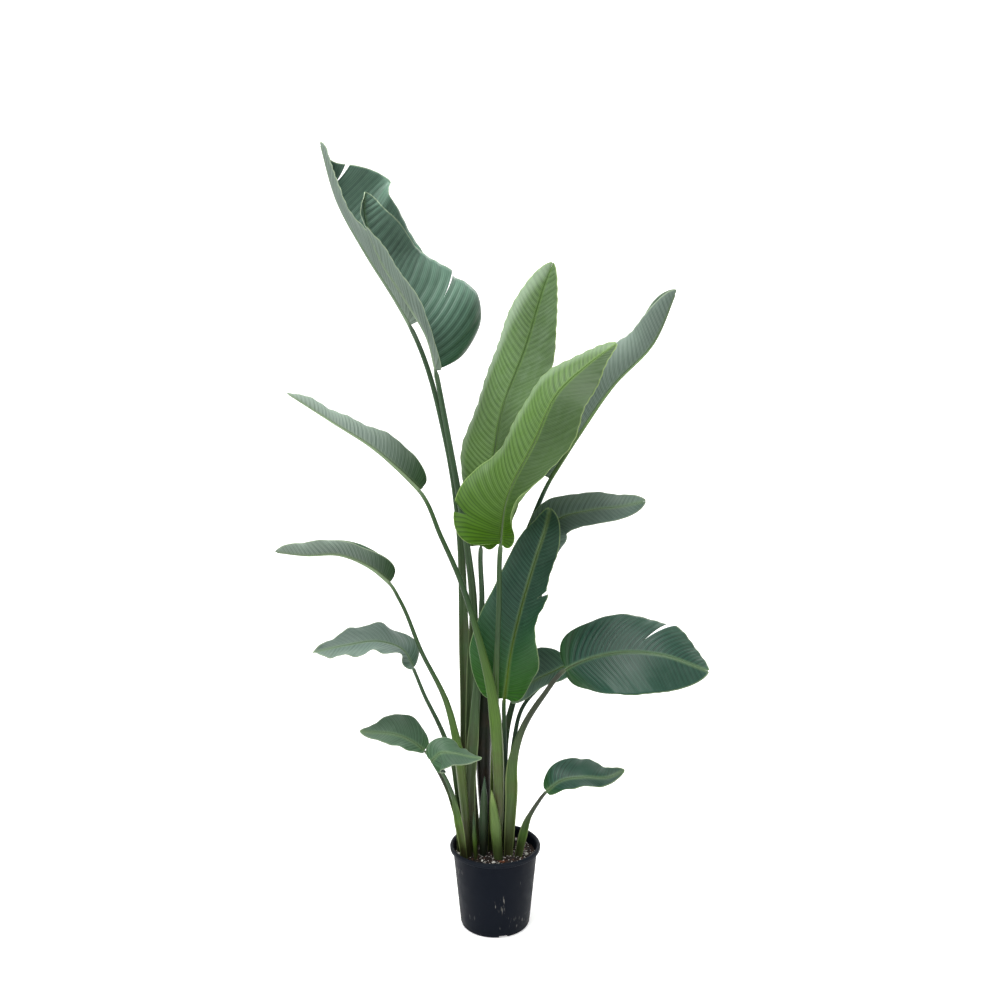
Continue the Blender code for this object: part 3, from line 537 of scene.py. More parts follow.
bladeFinishes = {
    "mature": bladeFinish("matureLeaf", dict(
        upper=dict(valley="#2f4c3f", middle="#446151", crest="#557564", half="#476654", halfShadeShare=0.3,
                   vein="#b0c0ae", veinShare=0.75, bloom=0.08, rough=0.42, base="#44714e", baseShare=0.45,
                   fringeLight=0.1, sheen=0.22),
        under=dict(paleUnder, valley="#54685a", middle="#6c7e72", crest="#7f9086", half="#6c7e72"),
        margin="#93a383", rib="#6f8a58", marginShare=0.55, baseReach=0.36)),
    "milky": bladeFinish("milkyLeaf", dict(
        upper=dict(valley="#3c5347", middle="#546a5f", crest="#667c72", half="#4a6053", halfShadeShare=0.5,
                   vein="#b0c0ae", veinShare=0.75, bloom=0.12, rough=0.44, base="#3c5c44", baseShare=0.6,
                   fringeLight=0.15, sheen=0.22),
        under=paleUnder,
        margin="#93a383", rib="#6f8a58", marginShare=0.55, baseReach=0.3)),
    "arched": bladeFinish("archedLeaf", dict(
        upper=dict(valley="#1f3c30", middle="#2c5040", crest="#365c4b", half="#315644", halfShadeShare=0.3,
                   vein="#b0c0ae", veinShare=0.75, bloom=0.08, rough=0.4, base="#2c4f28", baseShare=0.5,
                   fringeLight=0.1, sheen=0.25),
        # underside: painted shade in the right half and towards the foot, inside the arch
        under=dict(paleUnder, valley="#4a5d50", middle="#66766b", crest="#7a897f", half="#4a5f4e",
                   halfShadeShare=0.8, base="#243f20", baseShare=1.0, fringeLight=0.15),
        margin="#93a383", rib="#64784e", marginShare=0.55, baseReach=0.6)),
    "dark": bladeFinish("darkLeaf", dict(
        upper=dict(valley="#14302a", middle="#204637", crest="#2c5646", half="#244a3a", halfShadeShare=0.4,
                   vein="#a9bca6", veinShare=0.8, bloom=0.05, rough=0.36, base="#2c5420", baseShare=0.7,
                   fringeLight=0.06, sheen=0.26),
        under=darkUnder,
        margin="#8aa070", rib="#7f9a68", marginShare=0.55, baseReach=0.3)),
    "vivid": bladeFinish("vividLeaf", dict(
        upper=dict(valley="#18362d", middle="#284c3c", crest="#385f4c", half="#234831", halfShadeShare=0.5,
                   vein="#a9bca6", veinShare=0.8, bloom=0.04, rough=0.38, base="#245c02", baseShare=1.0,
                   fringeLight=0.05, sheen=0.18),
        under=darkUnder,
        margin="#8aa070", rib="#8aa060", marginShare=0.65, baseReach=0.62)),
    "low": bladeFinish("lowLeaf", dict(
        upper=dict(valley="#2c4a32", middle="#3f5e44", crest="#4e6e52", half="#3c5a42", halfShadeShare=0.4,
                   vein="#b0c0ae", veinShare=0.75, bloom=0.1, rough=0.44, base="#41663a", baseShare=0.5,
                   fringeLight=0.1, sheen=0.2),
        under=paleUnder,
        margin="#93a383", rib="#6f8a58", marginShare=0.55, baseReach=0.36)),
    # young leaves: strong painted light in the left margin band and painted shade on the right half
    "young": bladeFinish("youngLeaf", dict(
        upper=dict(valley="#3a581c", middle="#4e6d2e", crest="#5f7f42", half="#3f5a26", halfShadeShare=0.9,
                   vein="#a8b884", veinShare=0.85, bloom=0.14, rough=0.45, base="#3a6004", baseShare=1.0,
                   fringeLight=0.62, sheen=0.12),
        under=youngUnder,
        margin="#8ba264", rib="#587830", marginShare=0.6, baseReach=0.4)),
    "youngFront": bladeFinish("youngFrontLeaf", dict(
        upper=dict(valley="#36541a", middle="#496826", crest="#587836", half="#374f24", halfShadeShare=0.9,
                   vein="#a0b480", veinShare=0.9, bloom=0.08, rough=0.45, base="#3a6004", baseShare=0.9,
                   fringeLight=0.32, sheen=0.12),
        under=youngUnder,
        margin="#8ba264", rib="#6a8c3a", marginShare=0.6, baseReach=0.45)),
}
print("leaf finishes made")


def stalkPaint(tree, look):
    # fleshy leaf stalk: smooth waxy skin with fine lengthwise fibres, paler sheath rims and midrib
    lay = addNode(tree, "ShaderNodeUVMap", uv_map="lay")
    share, rim = stored(tree, "share"), stored(tree, "rim")
    body = tones(tree, calc(tree, "MULTIPLY", share, 0.5), (0.0, look["foot"]), (0.07, look["foot"]),
                 (0.20, look["sheath"]), (0.36, look["stalk"]), (0.48, look["neck"]), (0.52, look["rib"]))
    # lengthwise fibres: stretched noise, 2 mm across and 120 mm long
    stretch = addNode(tree, "ShaderNodeMapping", {"Vector": lay, "Scale": (8.0, 420.0, 1.0)})
    fibre = noise(tree, stretch, 1.0, 3.0, 0.6)
    fibreTone = tones(tree, fibre, (0.30, "#b4b4b4"), (0.66, "#ffffff"))
    fibred = blend(tree, 0.75, body, fibreTone, blend_type="MULTIPLY")
    # bronze flush in patches 50 mm long on the lower half
    lower = remap(tree, share, 0.15, 0.75, look["flush"], 0.0)
    spot = remap(tree, noise(tree, objectPlace(tree), 14.0, 3.0), 0.48, 0.68)
    flushed = blend(tree, calc(tree, "MULTIPLY", lower, spot), fibred, "#4a3023")
    # pale papery rim of the sheath
    rimmed = blend(tree, rim, flushed, look["rim"])
    return {"Base Color": rimmed, "Roughness": look["rough"], "Specular IOR Level": 0.25,
            "Normal": bump(tree, fibre, 0.3, 0.0008)}


stalkLooks = {
    "fresh": ("freshStalk", dict(foot="#4a5630", sheath="#527426", stalk="#314c2c", neck="#3a5630",
        rib="#7f9470", rim="#82965a", flush=0.3, rough=0.4)),
    "shade": ("shadedStalk", dict(foot="#454c30", sheath="#48603a", stalk="#3e573c", neck="#465f44",
        rib="#7f9478", rim="#788a5e", flush=0.4, rough=0.42)),
    "dark": ("darkStalk", dict(foot="#36432a", sheath="#2f4a2a", stalk="#243f2c", neck="#3a5c2c", rib="#6f8c34",
        rim="#6a7c50", flush=0.4, rough=0.4)),
    # painted shade: very dark foot and sheath for a stalk in the shadow behind the others, over its own dark
    # brown-green
    "shadedBrown": ("shadedSheath", dict(foot="#1c1812", sheath="#18240e", stalk="#263f24", neck="#34523a",
        rib="#6f8a58", rim="#3c4a30", flush=0.45, rough=0.44)),
    "bronzed": ("bronzedStalk", dict(foot="#4a5630", sheath="#4a6b2a", stalk="#3c4434", neck="#44483c",
        rib="#7f9470", rim="#7c8c58", flush=0.35, rough=0.42)),
    "spear": ("youngShoot", dict(foot="#56683a", sheath="#5f7a3c", stalk="#66823e", neck="#8aa05c",
        rib="#a0b47c", rim="#94a468", flush=0.15, rough=0.42)),
    "teal": ("darkSheath", dict(foot="#2c382a", sheath="#33492e", stalk="#3a5234", neck="#3f5848",
        rib="#4a6454", rim="#6f8474", flush=0.3, rough=0.44)),
    "dried": ("driedSheath", dict(foot="#46321f", sheath="#6e5236", stalk="#7c6042", neck="#8f7450",
        rib="#9a8058", rim="#a89068", flush=0.6, rough=0.75)),
}
stalkFinishes = {key: newFinish(name, lambda tree: stalkPaint(tree, look))
                 for key, (name, look) in stalkLooks.items()}
print("stalk finishes made")


# the fifteen leaves, tallest first: stem from soil to joint, rib as (x, y, z, facing azimuth, facing height),
# section as (place, left half width, rise, curl, right half width, rise, curl), tears as (half, place, depth,
# gap, drop), girth as the stalk's width at foot, middle and joint
leaves = [
    dict(name="tall_back", blade="mature", stalk="shade", seed=1, girth=(0.022, 0.028, 0.014), lobe=0.04,
         sheath=(0.5, 0.46), wave=(0.004, 3, 0.4), pleat=(0.0013, 0.015),
         tears=[("right", 0.86, 0.15, 0.012, 0.004), ("left", 0.1, 0.3, 0.004, 0.006)],
         stem=[(-0.07, 0.058, 0.17), (-0.085, 0.061, 0.455), (-0.085, 0.07, 0.63), (-0.09, 0.08, 0.86),
               (-0.098, 0.08, 1.085), (-0.137, 0.085, 1.36)],
         rib=[(-0.232, 0.1, 1.675, -40, 10), (-0.27, 0.1, 1.74, -40, 10), (-0.357, 0.11, 1.875, -40, 10),
              (-0.433, 0.12, 2.01, -55, 10), (-0.478, 0.12, 2.17, -40, 0)],
         section=[(0, 0.1, 58, 25, 0.16, 30, 15), (0.35, 0.09, 60, 12, 0.165, 15, 0),
                  (0.6, 0.085, 64, 15, 0.155, 25, 5), (0.84, 0.09, 66, 25, 0.16, 30, 20),
                  (0.88, 0.095, 66, 27, 0.075, 50, 30), (1, 0.12, 66, 35, 0.06, 55, 30)]),
    dict(name="tall_front", blade="mature", stalk="shade", seed=2, girth=(0.022, 0.028, 0.014), lobe=0.03,
         sheath=(0.48, 0.52), wave=(0.004, 3, 1.0), pleat=(0.003, 0.02),
         tears=[("right", 0.42, 0.55, 0.008, 0.012)],
         stem=[(-0.05, 0.046, 0.17), (-0.07, 0.04, 0.46), (-0.066, 0.044, 0.69), (-0.062, 0.05, 0.92),
               (-0.08, 0.04, 1.085), (-0.12, 0.018, 1.335)],
         rib=[(-0.158, 0.01, 1.55, -60, 0), (-0.178, -0.01, 1.63, -60, 0), (-0.24, -0.015, 1.74, -50, 10),
              (-0.302, -0.02, 1.84, -45, 10), (-0.342, -0.02, 1.96, -75, -10), (-0.34, -0.02, 2.01, -70, -20)],
         section=[(0, 0.06, 76, 20, 0.235, 0, -45), (0.15, 0.055, 78, 22, 0.235, 0, -30),
                  (0.35, 0.055, 78, 22, 0.215, 5, -20), (0.6, 0.055, 72, 20, 0.16, 0, 0),
                  (0.82, 0.06, 66, 22, 0.13, 8, 20), (1, 0.09, 62, 30, 0.16, 15, 25)]),
    dict(name="centre_back", blade="young", stalk="shade", seed=3, girth=(0.02, 0.03, 0.013), lobe=0.03,
         sheath=(0.46, 0.5), wave=(0.003, 4, 0.0), pleat=(0.0015, 0.016),
         stem=[(-0.06, 0.001, 0.17), (-0.07, 0, 0.385), (-0.06, 0.008, 0.555), (-0.045, 0.024, 0.75),
               (-0.037, 0.048, 0.915)],
         rib=[(-0.04, 0.08, 1.06, -90, 10), (-0.015, 0.09, 1.22, -95, 20), (0.02, 0.11, 1.445, -120, 25),
              (0.085, 0.12, 1.615, -110, 5), (0.135, 0.12, 1.78, -100, 25), (0.16, 0.12, 1.85, -80, 30)],
         section=[(0, 0.1, 10, -25, 0.145, 50, 30), (0.15, 0.095, 0, -40, 0.145, 40, 15),
                  (0.35, 0.115, 10, -50, 0.145, 30, 10), (0.6, 0.12, 10, -60, 0.14, 20, 5),
                  (1, 0.14, 25, -35, 0.125, 25, 10)]),
    dict(name="centre_front", blade="youngFront", stalk="fresh", seed=4, girth=(0.02, 0.022, 0.013),
         ribWide=1.3, lobe=0.04, sheath=(0.4, 0.44), wave=(0.003, 4, 2.0), pleat=(0.0013, 0.016),
         tears=[("left", 0.15, 0.72, 0.026, 0.012)],
         stem=[(-0.012, 0.014, 0.17), (0, -0.006, 0.465), (0.002, -0.032, 0.705), (0.01, -0.058, 0.905)],
         rib=[(0.015, -0.08, 1.09, -90, 10), (0.03, -0.09, 1.205, -115, 15), (0.105, -0.08, 1.365, -115, 25),
              (0.165, -0.07, 1.49, -120, 20), (0.24, -0.05, 1.56, -105, 40), (0.32, -0.04, 1.62, -105, 50)],
         section=[(0, 0.185, 10, 10, 0.045, 20, 20), (0.15, 0.165, 10, -5, 0.095, 35, 40),
                  (0.35, 0.115, 0, -35, 0.135, 25, 20), (0.6, 0.115, 0, -40, 0.135, 10, 10),
                  (1, 0.135, 0, -30, 0.115, 20, -10)]),
    dict(name="right_rolled", blade="mature", stalk="shadedBrown", seed=5, girth=(0.026, 0.046, 0.013), lobe=0.02,
         sheath=(0.5, 0.46), wave=(0.003, 4, 0.5), pleat=(0.0012, 0.014),
         stem=[(-0.018, 0.056, 0.17), (-0.029, 0.053, 0.32), (-0.033, 0.052, 0.5), (-0.018, 0.064, 0.69),
               (0.02, 0.09, 0.865), (0.06, 0.106, 1.01), (0.105, 0.106, 1.135)],
         rib=[(0.15, 0.09, 1.25, 140, 30), (0.235, 0.09, 1.38, 140, 30), (0.33, 0.085, 1.515, 140, 30),
              (0.43, 0.075, 1.62, 150, 20), (0.495, 0.07, 1.77, 185, 0)],
         section=[(0, 0.075, 50, 50, 0.08, 50, 50), (0.35, 0.095, 45, 65, 0.105, 50, 60),
                  (0.6, 0.105, 45, 70, 0.1, 50, 70), (0.85, 0.13, 40, 65, 0.11, 40, 65),
                  (1, 0.17, 40, 60, 0.15, 35, 60)]),
    dict(name="right_arching", blade="milky", stalk="dark", seed=6, girth=(0.018, 0.02, 0.01), ribWide=0.8,
         lobe=0.03, sheath=(0.44, 0.4), wave=(0.004, 3, 2.2), pleat=(0.0008, 0.013),
         stem=[(0.03, 0.05, 0.17), (0.022, 0.048, 0.4), (0.034, 0.065, 0.545), (0.055, 0.08, 0.625),
               (0.1, 0.098, 0.8), (0.13, 0.08, 0.94)],
         rib=[(0.135, 0.055, 1.025, -75, 35), (0.165, 0.045, 1.135, -85, 35), (0.27, 0.04, 1.17, -85, 40),
              (0.35, 0.035, 1.18, -95, 40), (0.415, 0.035, 1.195, -85, 25)],
         section=[(0, 0.055, 0, -20, 0.07, 0, -60), (0.35, 0.065, 5, -10, 0.05, 10, -15),
                  (0.6, 0.06, 5, 0, 0.05, 5, -30), (1, 0.07, 10, -10, 0.07, 0, -20)]),
    dict(name="dark_front", blade="vivid", stalk="dark", seed=7, girth=(0.018, 0.02, 0.011), ribWide=1.3,
         lobe=0.04, sheath=(0.5, 0.46), wave=(0.004, 4, 1.2), pleat=(0.0011, 0.012),
         tears=[("right", 0.6, 0.6, 0.008, 0.008)],
         stem=[(0.022, 0.016, 0.17), (0.028, 0.003, 0.355), (0.028, -0.005, 0.475), (0.025, -0.011, 0.58)],
         rib=[(0.025, -0.016, 0.65, -90, 5), (0.045, -0.016, 0.79, -90, 15), (0.075, -0.016, 0.92, -100, 5),
              (0.11, -0.015, 1.042, -100, 35), (0.14, -0.01, 1.138, -100, 30), (0.15, 0.015, 1.178, -80, 60)],
         section=[(0, 0.11, 0, -25, 0.085, 0, -15), (0.15, 0.125, 0, -20, 0.09, 0, -20),
                  (0.35, 0.11, 5, 0, 0.08, 35, 15), (0.6, 0.09, 15, 5, 0.075, 25, 5),
                  (1, 0.11, 0, -35, 0.1, 0, -30)]),
    dict(name="right_torn", blade="dark", stalk="bronzed", seed=8, girth=(0.02, 0.032, 0.012), ribWide=0.8,
         lobe=0.02, sheath=(0.56, 0.62), wave=(0.004, 3, 0.2), pleat=(0.0011, 0.014),
         tears=[("left", 0.7, 0.35, 0.022, 0.01)],
         stem=[(0.035, -0.014, 0.17), (0.045, -0.026, 0.37), (0.05, -0.035, 0.485), (0.075, -0.043, 0.575),
               (0.13, -0.05, 0.67)],
         rib=[(0.19, -0.05, 0.745, -90, 40), (0.235, -0.06, 0.77, -90, 40), (0.335, -0.08, 0.8, -90, 40),
              (0.435, -0.1, 0.8, -90, 40), (0.565, -0.12, 0.76, -60, 30)],
         section=[(0, 0.125, 0, -10, 0.095, 0, -20), (0.35, 0.12, 0, -15, 0.12, 5, -5),
                  (1, 0.14, 0, -30, 0.145, 0, -20)]),
    dict(name="right_drooping", blade="mature", stalk="dark", seed=9, girth=(0.014, 0.015, 0.01), lobe=0.02,
         sheath=(0.4, 0.36), wave=(0.002, 3, 0.9), pleat=(0.0008, 0.012),
         stem=[(0.05, 0.028, 0.17), (0.045, 0.027, 0.37), (0.052, 0.038, 0.5), (0.078, 0.053, 0.605),
               (0.14, 0.06, 0.675)],
         rib=[(0.205, 0.05, 0.73, -90, 30), (0.17, 0.042, 0.715, -90, 30), (0.105, 0.034, 0.685, -80, 30),
              (0.045, 0.03, 0.625, -90, 30)],
         section=[(0, 0.05, 5, -20, 0.085, 5, -15), (0.35, 0.03, 10, -5, 0.08, 0, -10),
                  (1, 0.045, 0, -25, 0.07, 0, -20)]),
    dict(name="left_rolled", blade="arched", stalk="fresh", seed=10, girth=(0.02, 0.032, 0.012), lobe=0.02,
         sheath=(0.44, 0.5), wave=(0.003, 4, 1.7), pleat=(0.0011, 0.012),
         stem=[(0.005, -0.014, 0.17), (0.01, -0.034, 0.4), (0.005, -0.049, 0.54), (-0.01, -0.056, 0.685),
               (-0.04, -0.05, 0.815), (-0.09, -0.04, 0.98), (-0.145, -0.028, 1.105)],
         rib=[(-0.2, -0.02, 1.23, 60, 45), (-0.24, -0.02, 1.27, 60, 45), (-0.32, -0.02, 1.34, 70, 40),
              (-0.44, -0.01, 1.415, 85, 40), (-0.56, 0, 1.49, 70, 25)],
         section=[(0, 0.065, 35, 40, 0.09, 40, 35), (0.35, 0.065, 60, 45, 0.065, 45, 60),
                  (0.6, 0.055, 70, 45, 0.055, 50, 60), (1, 0.07, 55, 55, 0.09, 50, 65)]),
    dict(name="left_arching", blade="arched", stalk="fresh", seed=11, girth=(0.018, 0.024, 0.011), lobe=0.02,
         sheath=(0.48, 0.54), wave=(0.004, 4, 0.7), pleat=(0.0011, 0.012),
         tears=[("right", 0.16, 0.5, 0.007, 0.008)],
         stem=[(-0.073, -0.02, 0.17), (-0.088, -0.031, 0.375), (-0.105, -0.042, 0.53), (-0.13, -0.045, 0.645),
               (-0.2, -0.045, 0.795), (-0.255, -0.05, 0.935)],
         rib=[(-0.28, -0.05, 0.985, 90, 70), (-0.33, -0.05, 1.025, 90, 75), (-0.415, -0.05, 1.06, 90, 80),
              (-0.505, -0.06, 1.06, 90, 80), (-0.585, -0.07, 1.07, 90, 80)],
         section=[(0, 0.07, 35, 55, 0.06, 45, 45), (0.35, 0.04, 50, 60, 0.05, 40, 55),
                  (0.6, 0.045, 55, 60, 0.045, 40, 55), (1, 0.065, 60, 55, 0.06, 50, 55)]),
    dict(name="left_cupped", blade="milky", stalk="shade", seed=12, girth=(0.016, 0.02, 0.01), lobe=0.03,
         sheath=(0.5, 0.46), wave=(0.006, 4, 1.9), pleat=(0.0011, 0.012),
         stem=[(-0.085, 0.031, 0.17), (-0.1, 0.02, 0.35), (-0.12, 0.01, 0.47), (-0.155, 0.002, 0.57),
               (-0.195, 0, 0.655)],
         rib=[(-0.225, 0, 0.735, -60, 50), (-0.255, 0, 0.785, -70, 60), (-0.31, -0.01, 0.81, -100, 60),
              (-0.41, -0.03, 0.805, -65, 60), (-0.495, -0.05, 0.79, -100, 70)],
         section=[(0, 0.05, 30, 10, 0.065, 0, -30), (0.35, 0.055, 20, -5, 0.075, 0, -10),
                  (1, 0.085, 10, 5, 0.045, 10, 10)]),
    dict(name="left_small", blade="low", stalk="bronzed", seed=13, girth=(0.014, 0.014, 0.008), ribWide=0.7,
         lobe=0.03, sheath=(0.6, 0.64), wave=(0.003, 3, 0.3), pleat=(0.0006, 0.01),
         stem=[(-0.098, 0.011, 0.17), (-0.11, 0.001, 0.315), (-0.135, -0.007, 0.39), (-0.165, -0.014, 0.455)],
         rib=[(-0.195, -0.02, 0.505, -90, 45), (-0.22, -0.02, 0.525, -90, 50), (-0.275, -0.03, 0.555, -90, 50),
              (-0.33, -0.04, 0.565, -100, 50), (-0.37, -0.05, 0.57, -90, 50)],
         section=[(0, 0.03, 25, 5, 0.05, 0, -20), (0.35, 0.035, 10, -5, 0.075, 0, -15),
                  (1, 0.035, 0, -10, 0.03, 0, -25)]),
    dict(name="low_front", blade="low", stalk="fresh", seed=14, girth=(0.014, 0.02, 0.008), ribWide=0.7,
         lobe=0.03, sheath=(0.6, 0.56), wave=(0.002, 3, 1.4), pleat=(0.0006, 0.01),
         stem=[(-0.082, -0.037, 0.17), (-0.098, -0.053, 0.3), (-0.12, -0.077, 0.415), (-0.145, -0.093, 0.475)],
         rib=[(-0.17, -0.11, 0.51, -90, 40), (-0.145, -0.115, 0.535, -90, 50), (-0.11, -0.125, 0.538, -65, 70),
              (-0.065, -0.13, 0.53, -65, 70), (-0.035, -0.13, 0.525, -90, 70)],
         section=[(0, 0.045, 15, -15, 0.075, 20, -10), (0.35, 0.055, 0, -25, 0.055, 5, -30),
                  (1, 0.035, 0, -40, 0.035, 10, -20)]),
    dict(name="right_small", blade="dark", stalk="bronzed", seed=15, girth=(0.016, 0.022, 0.009), ribWide=0.7,
         lobe=0.02, sheath=(0.66, 0.72), wave=(0.003, 3, 2.6), pleat=(0.0007, 0.01),
         stem=[(0.06, -0.019, 0.17), (0.075, -0.027, 0.255), (0.09, -0.034, 0.31), (0.115, -0.041, 0.36)],
         rib=[(0.14, -0.05, 0.4, -90, 50), (0.18, -0.05, 0.43, -90, 50), (0.24, -0.06, 0.445, -100, 55),
              (0.31, -0.06, 0.445, -80, 55), (0.355, -0.06, 0.465, -90, 55)],
         section=[(0, 0.05, 0, -20, 0.03, 10, -15), (0.35, 0.07, 0, -20, 0.035, 10, 0),
                  (1, 0.045, 0, -15, 0.03, 0, -30)]),
]
for leaf in leaves:
    makeLeaf(leaf)
print("leaves made")


def makeShoot(shoot):
    # a young leaf or an old sheath standing between the stalks
    steps = np.linspace(0, 1, 60)
    foot, tip = np.array(shoot["foot"]), np.array(shoot["tip"])
    bow = np.array(shoot["bow"])
    path = foot + (tip - foot) * steps[:, None] + bow * np.sin(math.pi * steps)[:, None]
    places = (0, 0.22, 0.5, 0.8, 0.93, 1)
    width = shoot["width"] * np.interp(steps, places, (0.75, 0.88, 1.0, 0.62, 0.30, 0.05))
    depth = shoot["depth"] * np.interp(steps, places, (0.9, 1.0, 1.0, 0.66, 0.36, 0.10))
    line = dict(path=path, upper=np.tile(shoot["upper"], (60, 1)).astype(float), width=width, depth=depth,
                share=steps * 0.9, keel=width / 2, riseLeft=0 * steps, riseRight=0 * steps)
    mesh = stalkMesh(shoot["name"], line, shoot["sheath"], shoot["wing"])
    addPiece("shoot_" + shoot["name"], mesh, [stalkFinishes[shoot["finish"]]], [shoot["name"]])


shoots = [
    dict(name="young_spear", foot=(0.011, -0.033, 0.17), tip=(-0.01, -0.05, 0.404), bow=(0.001, -0.002, 0),
         upper=(0, 1, 0), width=0.03, depth=0.012, sheath=(0.9, 0.84), wing=0.003, finish="spear",
         slot="young_shoot"),
    dict(name="teal_sheath", foot=(-0.034, -0.012, 0.17), tip=(-0.029, -0.025, 0.433), bow=(-0.001, 0, 0),
         upper=(0, 1, 0), width=0.024, depth=0.01, sheath=(0.8, 0.86), wing=0.003, finish="teal",
         slot="dark_sheath"),
    dict(name="slim_stalk", foot=(-0.053, -0.034, 0.17), tip=(-0.06, -0.048, 0.343), bow=(0, 0, 0),
         upper=(0, 1, 0), width=0.012, depth=0.008, sheath=(0.7, 0.62), wing=0.002, finish="fresh",
         slot="leaf_stalk"),
    dict(name="dried_sheath", foot=(-0.034, 0.02, 0.17), tip=(-0.03, 0.011, 0.362), bow=(0.001, 0, 0),
         upper=(0, -1, 0), width=0.016, depth=0.007, sheath=(0.88, 0.74), wing=0.004, finish="dried",
         slot="dried_sheath"),
]
for shoot in shoots:
    makeShoot(shoot)
print("shoots made")


def newTree(name, sizes):
    # node tree with named inputs: name -> (kind, value)
    tree = bpy.data.node_groups.new(name, "GeometryNodeTree")
    tree.interface.new_socket("Geometry", in_out="INPUT", socket_type="NodeSocketGeometry")
    for key, (kind, value) in sizes.items():
        socket = tree.interface.new_socket(key, in_out="INPUT", socket_type="NodeSocket" + kind)
        if value is not None:
            socket.default_value = value
    tree.interface.new_socket("Geometry", in_out="OUTPUT", socket_type="NodeSocketGeometry")
    return tree, addNode(tree, "NodeGroupInput", out=None).outputs


def runTree(tree, mesh, name, values):
    # result of the tree on a mesh, as a plain mesh
    carrier = bpy.data.objects.new(name, mesh)
    bpy.context.scene.collection.objects.link(carrier)
    modifier = carrier.modifiers.new(name, "NODES")
    modifier.node_group = tree
    for item in tree.interface.items_tree:
        if item.item_type == "SOCKET" and item.in_out == "INPUT" and item.name in values:
            modifier[item.identifier] = values[item.name]
    bpy.context.view_layer.update()
    evaluated = carrier.evaluated_get(bpy.context.evaluated_depsgraph_get())
    result = bpy.data.meshes.new_from_object(evaluated)
    carrier.modifiers.clear()
    bpy.data.objects.remove(carrier)
    return result


def endTree(tree, geometry, finish):
    real = addNode(tree, "GeometryNodeRealizeInstances", {"Geometry": geometry})
    painted = addNode(tree, "GeometryNodeSetMaterial", {"Geometry": real, "Material": finish})
    addNode(tree, "NodeGroupOutput", {"Geometry": painted}, None)
    return tree


def potPaint(tree):
    # blow moulded polyethylene: blue-black, matte, dusty low down and a painted grey highlight at the lip
    place = objectPlace(tree)
    height = addNode(tree, "ShaderNodeSeparateXYZ", {"Vector": place}, "Z")
    # dust in patches 30 mm across, thicker near the ground
    dust = noise(tree, place, 33.0, 5.0, 0.65)
    dusty = calc(tree, "MULTIPLY", remap(tree, height, 0.0, 0.16, 0.34, 0.05), remap(tree, dust, 0.4, 0.75))
    base = blend(tree, dusty, "#040b17", "#1a1e22")
    # painted highlight: paler grey band over the lip, 14 mm high
    lipHighlight = blend(tree, remap(tree, height, 0.213, 0.226, 0.0, 0.30), base, "#2a2f34")
    # scuffs: thin slanted scratches 20 mm long
    slant = {"Vector": place, "Rotation": (0.2, 0.5, 0.3), "Scale": (260.0, 260.0, 34.0)}
    scratch = noise(tree, addNode(tree, "ShaderNodeMapping", slant), 1.0, 2.0)
    where = remap(tree, noise(tree, place, 15.0, 1.0), 0.56, 0.68)
    scuffs = calc(tree, "MULTIPLY", where, remap(tree, scratch, 0.60, 0.70, 0.0, 0.6))
    # faint orange peel of the moulding, 3 mm across
    peel = bump(tree, noise(tree, place, 330.0, 2.0), 0.15, 0.0005)
    return {"Base Color": blend(tree, scuffs, lipHighlight, "#8d8c86"), "Roughness": remap(tree, dust, 0.3, 0.7, 0.42, 0.60),
            "Normal": peel, "IOR": 1.46, "Specular IOR Level": 0.08}


potSizes = dict(base=0.0975, height=0.228, wall=0.002, neck=0.1185, lip=0.127, lipHeight=0.013, corner=0.005,
                drains=4, drainFirst=-76.0)


